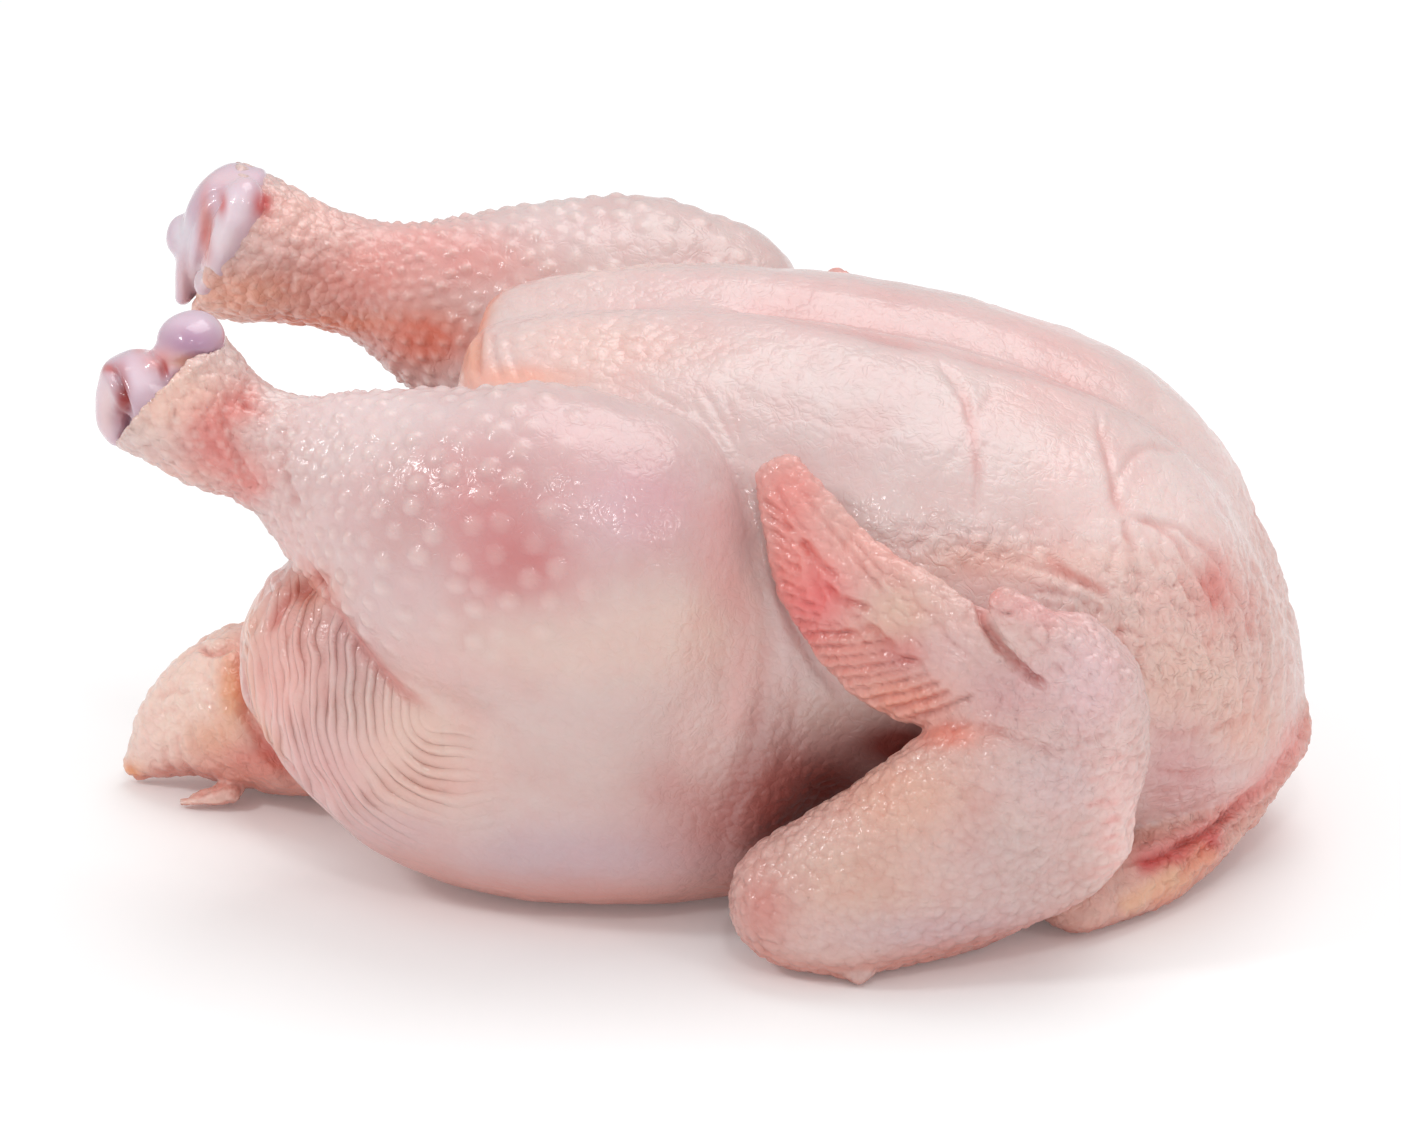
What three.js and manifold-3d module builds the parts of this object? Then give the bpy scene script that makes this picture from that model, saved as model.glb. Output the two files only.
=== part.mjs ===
// A whole raw chicken, plucked and drawn, lying on its back with its breast up, its legs stretched
// out behind and its wings folded against its sides. Millimetres, +Z up. +X points to the neck and
// -Y to the bird's left side. The skin, flesh, legs, wings, tail and neck skin are one solid; the
// gristly end of each leg bone is a solid of its own, seated in the open end of its leg.
import * as THREE from "three";
import { mergeVertices } from "three/addons/utils/BufferGeometryUtils.js";
import Module from "manifold-3d";

const wasm = await Module();
wasm.setup();
const UP = [0, 0, 1];

// Driving dimensions of the carcass.
const BREAST_TOP = 118.5; // height of the breast above the table
const BREAST_HALF_WIDTH = 64;
const KEEL_GROOVE_DEPTH = 4.5; // the valley between the two breast muscles
const KEEL_GROOVE_WIDTH = 8;
const SEAT_GAP = 0.35; // clearance between a leg bone's end and the flesh around it

// Values between the rows of a table, on a smooth curve through every row; t runs from 0 to 1.
function between(rows, t) {
  const spot = t * (rows.length - 1);
  const i = Math.min(Math.floor(spot), rows.length - 2);
  const f = spot - i;
  const row = (k) => {
    if (k < 0) return rows[0].map((v, c) => 2 * v - rows[1][c]);
    if (k >= rows.length) return rows.at(-1).map((v, c) => 2 * v - rows.at(-2)[c]);
    return rows[k];
  };
  const [a, b, c, d] = [row(i - 1), row(i), row(i + 1), row(i + 2)];
  return b.map((v, k) => {
    const near = c[k] - a[k];
    const far = 2 * a[k] - 5 * v + 4 * c[k] - d[k];
    const last = 3 * v - a[k] - 3 * c[k] + d[k];
    return v + 0.5 * f * (near + f * (far + f * last));
  });
}

// A closed skin over rings of points: each ring has the same number of sides, and the first and last
// rings are drawn in to a point at their middle.
function skinOver(rings) {
  const sides = rings[0].length;
  const middleOf = (ring) => ring.reduce((sum, p) => sum.add(p), new THREE.Vector3()).divideScalar(sides);
  const points = [...rings.flat(), middleOf(rings[0]), middleOf(rings.at(-1))];
  const first = rings.length * sides;
  const index = [];
  for (let j = 0; j < sides; j++) {
    const k = (j + 1) % sides;
    for (let i = 0; i + 1 < rings.length; i++) {
      const [a, b] = [i * sides, (i + 1) * sides];
      index.push(a + j, b + j, b + k, a + j, b + k, a + k);
    }
    const end = (rings.length - 1) * sides;
    index.push(first, j, k, first + 1, end + k, end + j);
  }
  const geometry = new THREE.BufferGeometry().setFromPoints(points);
  return geometry.setIndex(index);
}

// An oval section carried along a path, closed at both ends by a dome. A row is
// [x, y, z, half breadth, half thickness], face is the way that the thickness points, and caps are the
// heights of the two domes. domeRings is how many rings each dome has.
const LAST_DOME_ANGLE = THREE.MathUtils.degToRad(76);
function limb(rows, face, { caps = [10, 10], sides = 20, steps = 14, domeRings = 2 } = {}) {
  const outward = new THREE.Vector3(...face);
  const place = (t) => new THREE.Vector3(...between(rows, t));
  const ring = (t, past, share) => {
    const [breadth, thickness] = between(rows, t).slice(3);
    const along = place(Math.min(1, t + 0.01)).sub(place(Math.max(0, t - 0.01))).normalize();
    const across = along.clone().cross(outward).normalize();
    const up = across.clone().cross(along);
    const centre = place(t).addScaledVector(along, past);
    return Array.from({ length: sides }, (_, j) => {
      const turn = (2 * Math.PI * j) / sides;
      return centre
        .clone()
        .addScaledVector(across, breadth * share * Math.cos(turn))
        .addScaledVector(up, thickness * share * Math.sin(turn));
    });
  };
  const angles = Array.from({ length: domeRings }, (_, i) => (LAST_DOME_ANGLE * (i + 1)) / domeRings);
  const dome = (t, cap) => angles.map((angle) => ring(t, cap * Math.sin(angle), Math.cos(angle)));
  return skinOver([
    ...dome(0, -caps[0]).reverse(),
    ...Array.from({ length: steps + 1 }, (_, i) => ring(i / steps, 0, 1)),
    ...dome(1, caps[1]),
  ]);
}

// The same rows on the bird's other side.
const mirrored = (rows) => rows.map(([x, y, z, ...sizes]) => [x, -y, z, ...sizes]);

// The trunk: breast muscles over the rib cage. A station is [x, top, bottom, height of the widest
// line, half width], from the keel's rear tip to the front of the wishbone.
function trunk() {
  const [top, wide] = [BREAST_TOP, BREAST_HALF_WIDTH];
  const stations = [
    [-50, 88, 66, 78, 5],
    [-49.5, top - 15, 42, 78, wide - 36],
    [-44.5, top - 5.5, 24, 73, wide - 24],
    [-29, top - 2, 10, 67, wide - 14],
    [-5, top, 2, 63, wide - 6],
    [22, top - 1, 0, 61, wide - 2],
    [48, top - 5, 0, 60, wide],
    [72, top - 11.5, 0, 58, wide - 2],
    [92, top - 20, 2, 54, wide - 9],
    [107, top - 32.5, 3, 49, wide - 18],
    [118, top - 51, 7, 44, wide - 31],
    [125, top - 68, 14, 38, wide - 46],
    [128.5, 40, 29, 34, 3],
  ];
  const [steps, sides] = [27, 38];
  const [upperPower, lowerPower] = [0.86, 1.05];
  const rings = [];
  for (let i = 0; i <= steps; i++) {
    const [x, high, low, waist, half] = between(stations, i / steps);
    rings.push(
      Array.from({ length: sides }, (_, j) => {
        const turn = (2 * Math.PI * j) / sides;
        const [c, s] = [Math.cos(turn), Math.sin(turn)];
        const power = s > 0 ? upperPower : lowerPower;
        const y = -half * Math.sign(c) * Math.abs(c) ** power;
        const reach = s > 0 ? high - waist : waist - low;
        const groove = s > 0 ? KEEL_GROOVE_DEPTH * Math.exp(-((y / KEEL_GROOVE_WIDTH) ** 2)) * s : 0;
        const z = waist + reach * Math.sign(s) * Math.abs(s) ** power - groove;
        return new THREE.Vector3(x, y, z);
      }),
    );
  }
  return skinOver(rings);
}

// The back and pelvis, which lie on the table and reach behind the breast to the tail.
const pelvis = () =>
  limb(
    [
      [-76, 0, 22, 28, 18],
      [-50, 0, 24, 40, 24],
      [-10, 0, 25, 44, 26],
      [40, 0, 24, 42, 25],
      [86, 0, 22, 36, 20],
    ],
    UP,
    { caps: [12, 22], sides: 20, steps: 6 },
  );

// A thigh: the wide bulge under the knee, with the slack skin behind it.
const THIGH = [
  [-81, -41, 53, 15, 19],
  [-65, -45, 47, 25, 30],
  [-42, -46, 41.5, 30, 39.5],
  [-16, -47, 41.5, 32, 41.5],
  [8, -44, 41, 28, 40],
];
const thigh = (rows) => limb(rows, UP, { caps: [9, 24], sides: 22, steps: 8, domeRings: 4 });

// The drumsticks, from the knee to the flared skin round the cut end. The left one is turned up at its
// end, and the right one lies a little higher.
const LEFT_DRUMSTICK = [
  [-12, -56, 74, 31, 38],
  [-30, -55, 78.5, 31, 37.5],
  [-46, -53, 82.5, 28, 33.5],
  [-61, -49, 87.5, 21.5, 26],
  [-74, -46, 92, 15, 18.5],
  [-85, -44, 96, 11.5, 12.7],
  [-95, -43, 100, 13.5, 13],
  [-102, -42, 105, 15.2, 14.8],
  [-106.5, -41.5, 108.5, 15.5, 16.5],
];
const RIGHT_DRUMSTICK = [
  [-8, 57, 79, 28, 34.5],
  [-24, 55, 83.5, 28, 35.5],
  [-40, 52, 88, 26, 31.5],
  [-54, 49, 93, 21, 25],
  [-66, 46, 97.5, 15, 18.5],
  [-77, 44.5, 101.5, 12, 13.5],
  [-89, 43, 105, 13, 13.5],
  [-101, 41, 109, 15.5, 16],
  [-110, 40, 112, 16.5, 17],
];
const drumstick = (rows) => limb(rows, UP, { caps: [26, 2.5], sides: 22, steps: 15, domeRings: 4 });

// The hollow in the open end of each leg, which leaves a rim of skin round the bone.
const LEFT_SOCKET = [
  [-101, -42, 104, 10.5, 11],
  [-105, -41.6, 107.5, 13, 14],
  [-112, -41, 114, 14.5, 16],
];
const RIGHT_SOCKET = [
  [-104, 40.6, 110, 11, 12],
  [-109, 40.1, 111.7, 14, 14.7],
  [-117, 39.5, 114.3, 15.5, 16.5],
];
const socket = (rows) => limb(rows, UP, { caps: [3, 3], sides: 14, steps: 3, domeRings: 1 });

// The rolled edge of the skin round the vent, on each side.
const VENT_LIP = [
  [-64, -32, 70, 3.5, 3.5],
  [-76, -35, 66.5, 3.5, 3.5],
  [-85.5, -36, 58, 3.5, 3.5],
  [-88.5, -36, 47, 3.5, 3.5],
  [-85, -38, 36, 3.5, 3.5],
  [-77, -42, 27, 3, 3],
];
const ventLip = (rows) => limb(rows, UP, { caps: [3, 3], sides: 8, steps: 8, domeRings: 1 });

// A folded wing: the upper arm along the table, the forearm over it with the skin stretched between
// the two, and the flat hand turned back along the breast, with the thumb beside the wrist.
const UPPER_ARM = [
  [78, -48, 18, 12, 14],
  [62, -65, 14, 14, 14],
  [38, -79, 13, 13, 13],
];
const FOREARM = [
  [28, -82, 14.5, 14, 13],
  [40, -81, 22, 15.5, 14],
  [54, -79, 31, 16.5, 13.5],
  [67, -76, 42, 17, 12.5],
  [77, -73, 53, 16, 11.5],
  [83, -71, 61, 14, 10.5],
];
const WING_SKIN = [
  [38, -81, 16, 12, 11],
  [60, -77, 24, 18, 11],
  [76, -72, 32, 24, 10],
  [80, -69, 38, 24, 9],
];
const HAND = [
  [83, -71, 62, 14, 10],
  [72, -72, 62.5, 13.5, 9],
  [61, -71.5, 64.5, 14, 8],
  [48, -69, 69.5, 15.5, 6.5],
  [35, -65.5, 80, 12.5, 5.5],
  [27, -62, 92, 8.5, 4.5],
  [22, -59, 101.5, 5, 3.2],
];
const THUMB = [
  [88, -75.5, 62, 9, 6],
  [79, -77.5, 72, 7, 5.5],
  [69, -76.5, 82, 3.6, 3.6],
];
const SHOULDER_EDGE = [
  [87, -68, 58, 9, 8],
  [89.5, -67, 44, 9, 8],
  [86.5, -65, 30, 9, 8.5],
  [78, -60, 16, 10, 9.5],
];
const wing = (side) => {
  const face = [0, side, 0];
  const rows = (table) => (side < 0 ? table : mirrored(table));
  return [
    limb(rows(UPPER_ARM), UP, { caps: [9, 12], sides: 14, steps: 5 }),
    limb(rows(FOREARM), face, { caps: [14, 10], sides: 18, steps: 9 }),
    limb(rows(WING_SKIN), face, { caps: [10, 8], sides: 16, steps: 5 }),
    limb(rows(HAND), face, { caps: [8, 3], sides: 14, steps: 11 }),
    limb(rows(THUMB), face, { caps: [6, 3], sides: 8, steps: 3 }),
    limb(rows(SHOULDER_EDGE), face, { caps: [8, 8], sides: 10, steps: 5 }),
  ];
};

// The tail, a fatty wedge with a hooked point.
const tail = () =>
  limb(
    [
      [-84, 0, 20, 22, 19],
      [-98, 0, 17.5, 18, 17.5],
      [-108, 0, 12, 12, 12],
      [-116, 0, 7.5, 7, 7.5],
      [-121, 0, 5, 4.5, 4.5],
    ],
    UP,
    { caps: [10, 3], sides: 16, steps: 8 },
  );

// The neck skin, a roll folded under the front of the breast.
const neckSkin = () =>
  limb(
    [
      [84, 54, 7, 9, 7],
      [97, 41, 8, 9, 8],
      [109.5, 22, 13, 9, 8.5],
      [121.5, 0, 24.5, 9, 9.5],
      [109.5, -22, 13, 9, 8.5],
      [97, -41, 8, 9, 8],
      [84, -54, 7, 9, 7],
    ],
    UP,
    { caps: [8, 8], sides: 12, steps: 15 },
  );

// The drawn body cavity, open between the legs behind the keel.
const cavity = () =>
  limb(
    [
      [-100, 0, 74, 20, 18],
      [-84, 0, 66, 25, 22],
      [-60, 0, 57, 30, 26],
      [-25, 0, 54, 36, 30],
      [15, 0, 54, 37, 30],
    ],
    UP,
    { caps: [10, 20], sides: 18, steps: 6 },
  );

// The gristly end of a leg bone: two rounded knuckles side by side, and the shaft that runs into the
// flesh. inward is the way of the shaft, and across runs from one knuckle to the other. grow makes the
// same form larger, for its seat in the leg.
const SHAFT_LENGTH = 22;
const KNUCKLE_SPACING = 13.4;
const KNUCKLE_RADII = [6.6, 8, 7.2]; // across, along the groove, and out of the leg
const LEFT_BONE = { end: [-107, -41.2, 112], inward: [0.8, -0.07, -0.6], across: [0.76, 0, 0.65] };
const RIGHT_BONE = { end: [-112.5, 39.5, 112.5], inward: [0.95, 0.06, -0.25], across: [0.2, 0, 0.98] };
function legBone({ end, inward, across }, grow = 0) {
  const base = new THREE.Vector3(...end);
  const shaftWay = new THREE.Vector3(...inward).normalize();
  const groove = shaftWay.clone().cross(new THREE.Vector3(...across)).normalize();
  const spread = groove.clone().cross(shaftWay);
  const turned = new THREE.Matrix4().makeBasis(spread, groove, shaftWay);
  const knuckle = (side) => {
    const ball = new THREE.SphereGeometry(1, 14, 9).scale(...KNUCKLE_RADII.map((r) => r + grow));
    const place = base.clone().addScaledVector(spread, (side * KNUCKLE_SPACING) / 2);
    return solid(ball.applyMatrix4(turned.clone().setPosition(place)));
  };
  const along = (distance) => base.clone().addScaledVector(shaftWay, distance);
  const shaft = limb(
    [
      [...base, 7 + grow, 6.5 + grow],
      [...along(SHAFT_LENGTH * 0.35), 4.6 + grow, 4.4 + grow],
      [...along(SHAFT_LENGTH), 3.6 + grow, 3.6 + grow],
    ],
    across,
    { caps: [2, 2 + grow], sides: 10, steps: 5, domeRings: 1 },
  );
  return solid(shaft).add(knuckle(1)).add(knuckle(-1));
}

// A closed geometry as a manifold-3d solid, and back again.
function solid(geometry) {
  geometry.deleteAttribute("normal");
  geometry.deleteAttribute("uv");
  const merged = mergeVertices(geometry, 1e-4);
  const made = new wasm.Mesh({
    numProp: 3,
    vertProperties: merged.getAttribute("position").array,
    triVerts: new Uint32Array(merged.index.array),
  });
  return new wasm.Manifold(made);
}
function meshOf(made, name, material) {
  const { vertProperties, triVerts } = made.getMesh();
  const geometry = new THREE.BufferGeometry()
    .setAttribute("position", new THREE.BufferAttribute(vertProperties, 3))
    .setIndex(new THREE.BufferAttribute(triVerts, 1));
  geometry.computeVertexNormals();
  const mesh = new THREE.Mesh(geometry, material);
  mesh.name = name;
  return mesh;
}

// The carcass: every part fused, the cavity, the open ends of the legs and the bones' seats cut out,
// and the underside flattened where it lies on the table.
function carcass() {
  const pieces = [
    trunk(),
    pelvis(),
    thigh(THIGH),
    thigh(mirrored(THIGH)),
    drumstick(LEFT_DRUMSTICK),
    drumstick(RIGHT_DRUMSTICK),
    ventLip(VENT_LIP),
    ventLip(mirrored(VENT_LIP)),
    ...wing(-1),
    ...wing(1),
    tail(),
    neckSkin(),
  ];
  const table = new THREE.BoxGeometry(500, 400, 60).translate(0, 0, -30);
  return pieces
    .map(solid)
    .reduce((whole, piece) => whole.add(piece))
    .subtract(solid(cavity()))
    .subtract(solid(table))
    .subtract(solid(socket(LEFT_SOCKET)))
    .subtract(solid(socket(RIGHT_SOCKET)))
    .subtract(legBone(LEFT_BONE, SEAT_GAP))
    .subtract(legBone(RIGHT_BONE, SEAT_GAP));
}

const skin = new THREE.MeshStandardMaterial({ color: 0xe0bdb6, roughness: 0.42, metalness: 0 });
const gristle = new THREE.MeshStandardMaterial({ color: 0xdcc3cc, roughness: 0.3, metalness: 0 });

const chicken = new THREE.Group();
chicken.add(
  meshOf(carcass(), "chicken", skin),
  meshOf(legBone(LEFT_BONE), "left_leg_bone", gristle),
  meshOf(legBone(RIGHT_BONE), "right_leg_bone", gristle),
);

// The tables above start from the middle of the keel. The origin is under the middle of the whole bird.
const middle = new THREE.Box3().setFromObject(chicken).getCenter(new THREE.Vector3());
chicken.position.set(-middle.x, -middle.y, 0);
export default chicken;
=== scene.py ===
# A whole raw chicken on its back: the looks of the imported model, as one fused skin with its folds,
# goose bumps and colours, and the two gristly bone ends. The bird's sizes are in millimetres, the lights'
# places in metres, and lines and patches of the picture in its points, right and down.
import itertools
import bpy
import numpy as np
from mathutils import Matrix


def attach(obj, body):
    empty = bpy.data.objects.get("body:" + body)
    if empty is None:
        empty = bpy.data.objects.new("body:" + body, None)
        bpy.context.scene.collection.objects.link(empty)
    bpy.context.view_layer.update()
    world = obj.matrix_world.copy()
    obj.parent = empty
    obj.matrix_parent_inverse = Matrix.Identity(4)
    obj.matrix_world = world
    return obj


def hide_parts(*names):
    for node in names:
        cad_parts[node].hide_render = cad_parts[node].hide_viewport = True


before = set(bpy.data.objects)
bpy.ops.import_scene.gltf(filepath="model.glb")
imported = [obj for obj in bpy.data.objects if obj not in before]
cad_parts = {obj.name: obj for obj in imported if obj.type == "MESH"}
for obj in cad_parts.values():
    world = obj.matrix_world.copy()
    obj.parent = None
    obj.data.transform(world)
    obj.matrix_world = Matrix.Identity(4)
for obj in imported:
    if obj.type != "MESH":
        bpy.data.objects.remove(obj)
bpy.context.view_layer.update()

import openvdb
from mathutils import Vector

# Camera and stage: a long lens looking down at the bird's left side from a little in front of it,
# a white table that runs up to the horizon, and wide soft lights.
PICTURE_SIZE = (1402, 1122)
PIXELS_PER_MM = 4.7
VIEW_DOWN = np.radians(22)
VIEW_TURN = np.radians(6)
VIEW_DISTANCE_MM = 1500.0
MM = 0.001
TABLE_ZERO_MM = np.array([-2.440, 0.0, 0.0])  # where the middle of the keel lies in the frame
LOOK_AT_MM = TABLE_ZERO_MM + np.array([0.0, 0.0, 57.1])
SENSOR_WIDTH = 36.0
view_right = np.array([np.cos(VIEW_TURN), np.sin(VIEW_TURN), 0])
view_up = np.array(
    [-np.sin(VIEW_TURN) * np.sin(VIEW_DOWN), np.cos(VIEW_TURN) * np.sin(VIEW_DOWN), np.cos(VIEW_DOWN)]
)
view_ahead = np.cross(view_up, view_right)
camera_place_mm = LOOK_AT_MM - view_ahead * VIEW_DISTANCE_MM

camera_data = bpy.data.cameras.new("camera")
camera_data.sensor_width = SENSOR_WIDTH
camera_data.lens = SENSOR_WIDTH * VIEW_DISTANCE_MM * PIXELS_PER_MM / PICTURE_SIZE[0]
camera_data.clip_end = 20
camera = bpy.data.objects.new("camera", camera_data)
bpy.context.scene.collection.objects.link(camera)
camera.location = camera_place_mm * MM
camera.rotation_euler = Vector(view_ahead).to_track_quat("-Z", "Y").to_euler()
bpy.context.scene.camera = camera


def new_piece(name, points_mm, faces):
    """A mesh object at the origin from an array of points in millimetres and an array of faces."""
    mesh = bpy.data.meshes.new(name)
    mesh.vertices.add(len(points_mm))
    mesh.vertices.foreach_set("co", (points_mm * MM).astype(np.float32).ravel())
    sides = faces.shape[1]
    mesh.loops.add(faces.size)
    mesh.loops.foreach_set("vertex_index", faces.astype(np.int32).ravel())
    mesh.polygons.add(len(faces))
    mesh.polygons.foreach_set("loop_start", np.arange(0, faces.size, sides, dtype=np.int32))
    mesh.update(calc_edges=True)
    mesh.validate()
    mesh.shade_smooth()
    piece = bpy.data.objects.new(name, mesh)
    bpy.context.scene.collection.objects.link(piece)
    return piece


FLOOR_HALF_WIDTH_MM = 4000.0
floor_corners = np.array([[-1, -1, 0], [1, -1, 0], [1, 1, 0], [-1, 1, 0]]) * FLOOR_HALF_WIDTH_MM
floor = new_piece("floor", floor_corners, np.array([[0, 1, 2, 3]]))
floor_finish = bpy.data.materials.new("white table")
floor_finish.use_nodes = True
floor_shader = floor_finish.node_tree.nodes["Principled BSDF"]
floor_shader.inputs["Base Color"].default_value = (0.955, 0.965, 0.97, 1)
floor_shader.inputs["Roughness"].default_value = 0.6
floor_shader.inputs["Specular IOR Level"].default_value = 0.2
floor_shader.inputs["Emission Color"].default_value = (1, 1, 1, 1)
floor_shader.inputs["Emission Strength"].default_value = 0.07
floor.data.materials.append(floor_finish)


def soft_light(name, place, size, watts):
    """A square area light at place, aimed at the middle of the bird."""
    data = bpy.data.lights.new(name, "AREA")
    data.shape = "SQUARE"
    data.size = size
    data.energy = watts
    light = bpy.data.objects.new(name, data)
    bpy.context.scene.collection.objects.link(light)
    light.location = place
    light.rotation_euler = (BIRD_MIDDLE - Vector(place)).to_track_quat("-Z", "Y").to_euler()


BIRD_MIDDLE = Vector((0, 0, 0.06))
soft_light("overhead", place=(0.3, 0.45, 1.45), size=1.1, watts=9)
soft_light("left window", place=(-0.9, -0.5, 0.95), size=0.2, watts=3.2)
soft_light("front window", place=(0.2, -1.0, 1.1), size=0.16, watts=1.9)
soft_light("right window", place=(1.1, -0.8, 0.8), size=0.2, watts=1.2)
world = bpy.data.worlds.new("studio")
world.use_nodes = True
world.node_tree.nodes["Background"].inputs["Color"].default_value = (1, 1, 1, 1)
world.node_tree.nodes["Background"].inputs["Strength"].default_value = 0.62
bpy.context.scene.world = world
bpy.context.scene.view_settings.view_transform = "Standard"
bpy.context.scene.view_settings.look = "None"


# The carcass: breast, back, legs, tail and neck skin. Each is a rounded form carried along a path,
# and all are fused in one volume under one skin, as flesh is. Tables are in millimetres from the
# middle of the keel.
def rows_between(rows, t):
    """Rows at shares t of the table, on a uniform Catmull-Rom curve through every row."""
    rows = np.asarray(rows, float)
    ends = np.vstack([2 * rows[0] - rows[1], rows, 2 * rows[-1] - rows[-2]])
    spot = np.asarray(t) * (len(rows) - 1)
    i = np.minimum(spot.astype(int), len(rows) - 2)
    f = (spot - i)[:, None]
    a, b, c, d = ends[i], ends[i + 1], ends[i + 2], ends[i + 3]
    return b + 0.5 * f * (c - a + f * (2 * a - 5 * b + 4 * c - d + f * (3 * b - a - 3 * c + d)))


def skin_over(rings):
    """Quads between rings of points, and a fan of triangles at each end: points, quads, triangles."""
    count, sides = rings.shape[:2]
    points = np.vstack([rings.reshape(-1, 3), rings[0].mean(0), rings[-1].mean(0)])
    i, j = np.meshgrid(np.arange(count - 1) * sides, np.arange(sides), indexing="ij")
    k = (j + 1) % sides
    quads = np.stack([i + j, i + k, i + sides + k, i + sides + j], -1).reshape(-1, 4)
    j = np.arange(sides)
    k = (j + 1) % sides
    pole = np.full(sides, count * sides)
    last = (count - 1) * sides
    fans = np.vstack([np.stack([pole, k, j], -1), np.stack([pole + 1, last + j, last + k], -1)])
    return points, quads, fans


DOME_DEGREES = 88
TANGENT_STEP = 0.01


def limb(rows, face, caps, sides=72, steps=90, dome_rings=14):
    """An oval section carried along a path, with domed ends. The ring at share t is
    centre + across * breadth * cos(turn) + up * thickness * sin(turn), and a dome's rings move on by
    cap * sin(angle) while their size falls by cos(angle). A row is [x, y, z, breadth, thickness], and
    face is the way that the thickness lies."""
    angles = np.radians(np.linspace(0, DOME_DEGREES, dome_rings + 1)[1:])
    t = np.concatenate([np.zeros(dome_rings), np.linspace(0, 1, steps + 1), np.ones(dome_rings)])
    past = np.concatenate([-caps[0] * np.sin(angles[::-1]), np.zeros(steps + 1), caps[1] * np.sin(angles)])
    share = np.concatenate([np.cos(angles[::-1]), np.ones(steps + 1), np.cos(angles)])
    at = rows_between(rows, t)
    ahead = rows_between(rows, np.minimum(t + TANGENT_STEP, 1))[:, :3]
    behind = rows_between(rows, np.maximum(t - TANGENT_STEP, 0))[:, :3]
    along = (ahead - behind) / np.linalg.norm(ahead - behind, axis=1, keepdims=True)
    across = np.cross(along, face)
    across /= np.linalg.norm(across, axis=1, keepdims=True)
    up = np.cross(across, along)
    turn = np.linspace(0, 2 * np.pi, sides, endpoint=False)[None, :, None]
    breadth = (at[:, 3] * share)[:, None, None]
    thickness = (at[:, 4] * share)[:, None, None]
    centre = (at[:, :3] + along * past[:, None])[:, None]
    rings = centre + across[:, None] * np.cos(turn) * breadth + up[:, None] * np.sin(turn) * thickness
    return skin_over(rings)


def mirrored(rows):
    """The same rows on the bird's other side: y is turned round."""
    return [[x, -y, z, *sizes] for x, y, z, *sizes in rows]


def block(low, high, voxel):
    """A box of the volume: its low corner, its voxel and its three arrays of grid places."""
    low = np.array(low, float)
    counts = np.ceil((np.array(high) - low) / voxel).astype(int)
    places = [low[k] + voxel * np.arange(counts[k]) for k in range(3)]
    shapes = ([-1, 1, 1], [1, -1, 1], [1, 1, -1])
    return low, voxel, [place.reshape(shape) for place, shape in zip(places, shapes)]


BAND_MM = 20.0


def distance_to(surface, room):
    """The signed distance in millimetres to a closed surface, on a block's grid: less than nothing
    inside, and no more than the band's width away from it."""
    points, quads, fans = surface
    low, voxel, places = room
    band = BAND_MM / voxel
    grid = openvdb.FloatGrid.createLevelSetFromPolygons(
        ((points - low) / voxel).astype(np.float32),
        triangles=fans.astype(np.uint32),
        quads=quads.astype(np.uint32),
        halfWidth=band,
    )
    values = np.full([place.size for place in places], band, np.float32)
    grid.copyToArray(values)
    return values * np.float32(voxel)


def limb_in(room, rows, face, caps):
    """The distance to a limb, on a block's grid."""
    return distance_to(limb(rows, face, caps), room)


def fused(a, b, blend):
    """The smooth union of two volumes: the lesser of a and b, less blend * h * h / 4, where h falls
    from 1 to 0 as a and b differ by up to blend."""
    h = np.clip(1 - np.abs(a - b) / blend, 0, 1)
    return np.minimum(a, b) - blend * h * h / 4


def cut_from(a, b, blend):
    """a with b taken away, with a rounded edge: the smooth union's mirror image."""
    return -fused(-a, b, blend)


def ramp(value, low, high):
    """0 below low and 1 above high, with a smooth rise between them."""
    s = np.clip((value - low) / (high - low), 0, 1)
    return s * s * (3 - 2 * s)


def fall(value, low, high):
    """1 below low and 0 above high, with a smooth fall between them."""
    return ramp(-value, -high, -low)


def skin_of(volume, room):
    """The points and the quads of the skin where a volume's distance is nothing."""
    grid = openvdb.FloatGrid()
    grid.copyFromArray(volume.astype(np.float32))
    points, _, quads = grid.convertToPolygons(isovalue=0.0, adaptivity=0.0)
    return points * room[1] + room[0], quads


UP = (0, 0, 1)
BREAST_TOP = 118.5
BREAST_HALF_WIDTH = 64
KEEL_GROOVE_DEPTH = 4.5
KEEL_GROOVE_WIDTH = 8
TOP_POWER = 0.86
UNDER_POWER = 1.05


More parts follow.
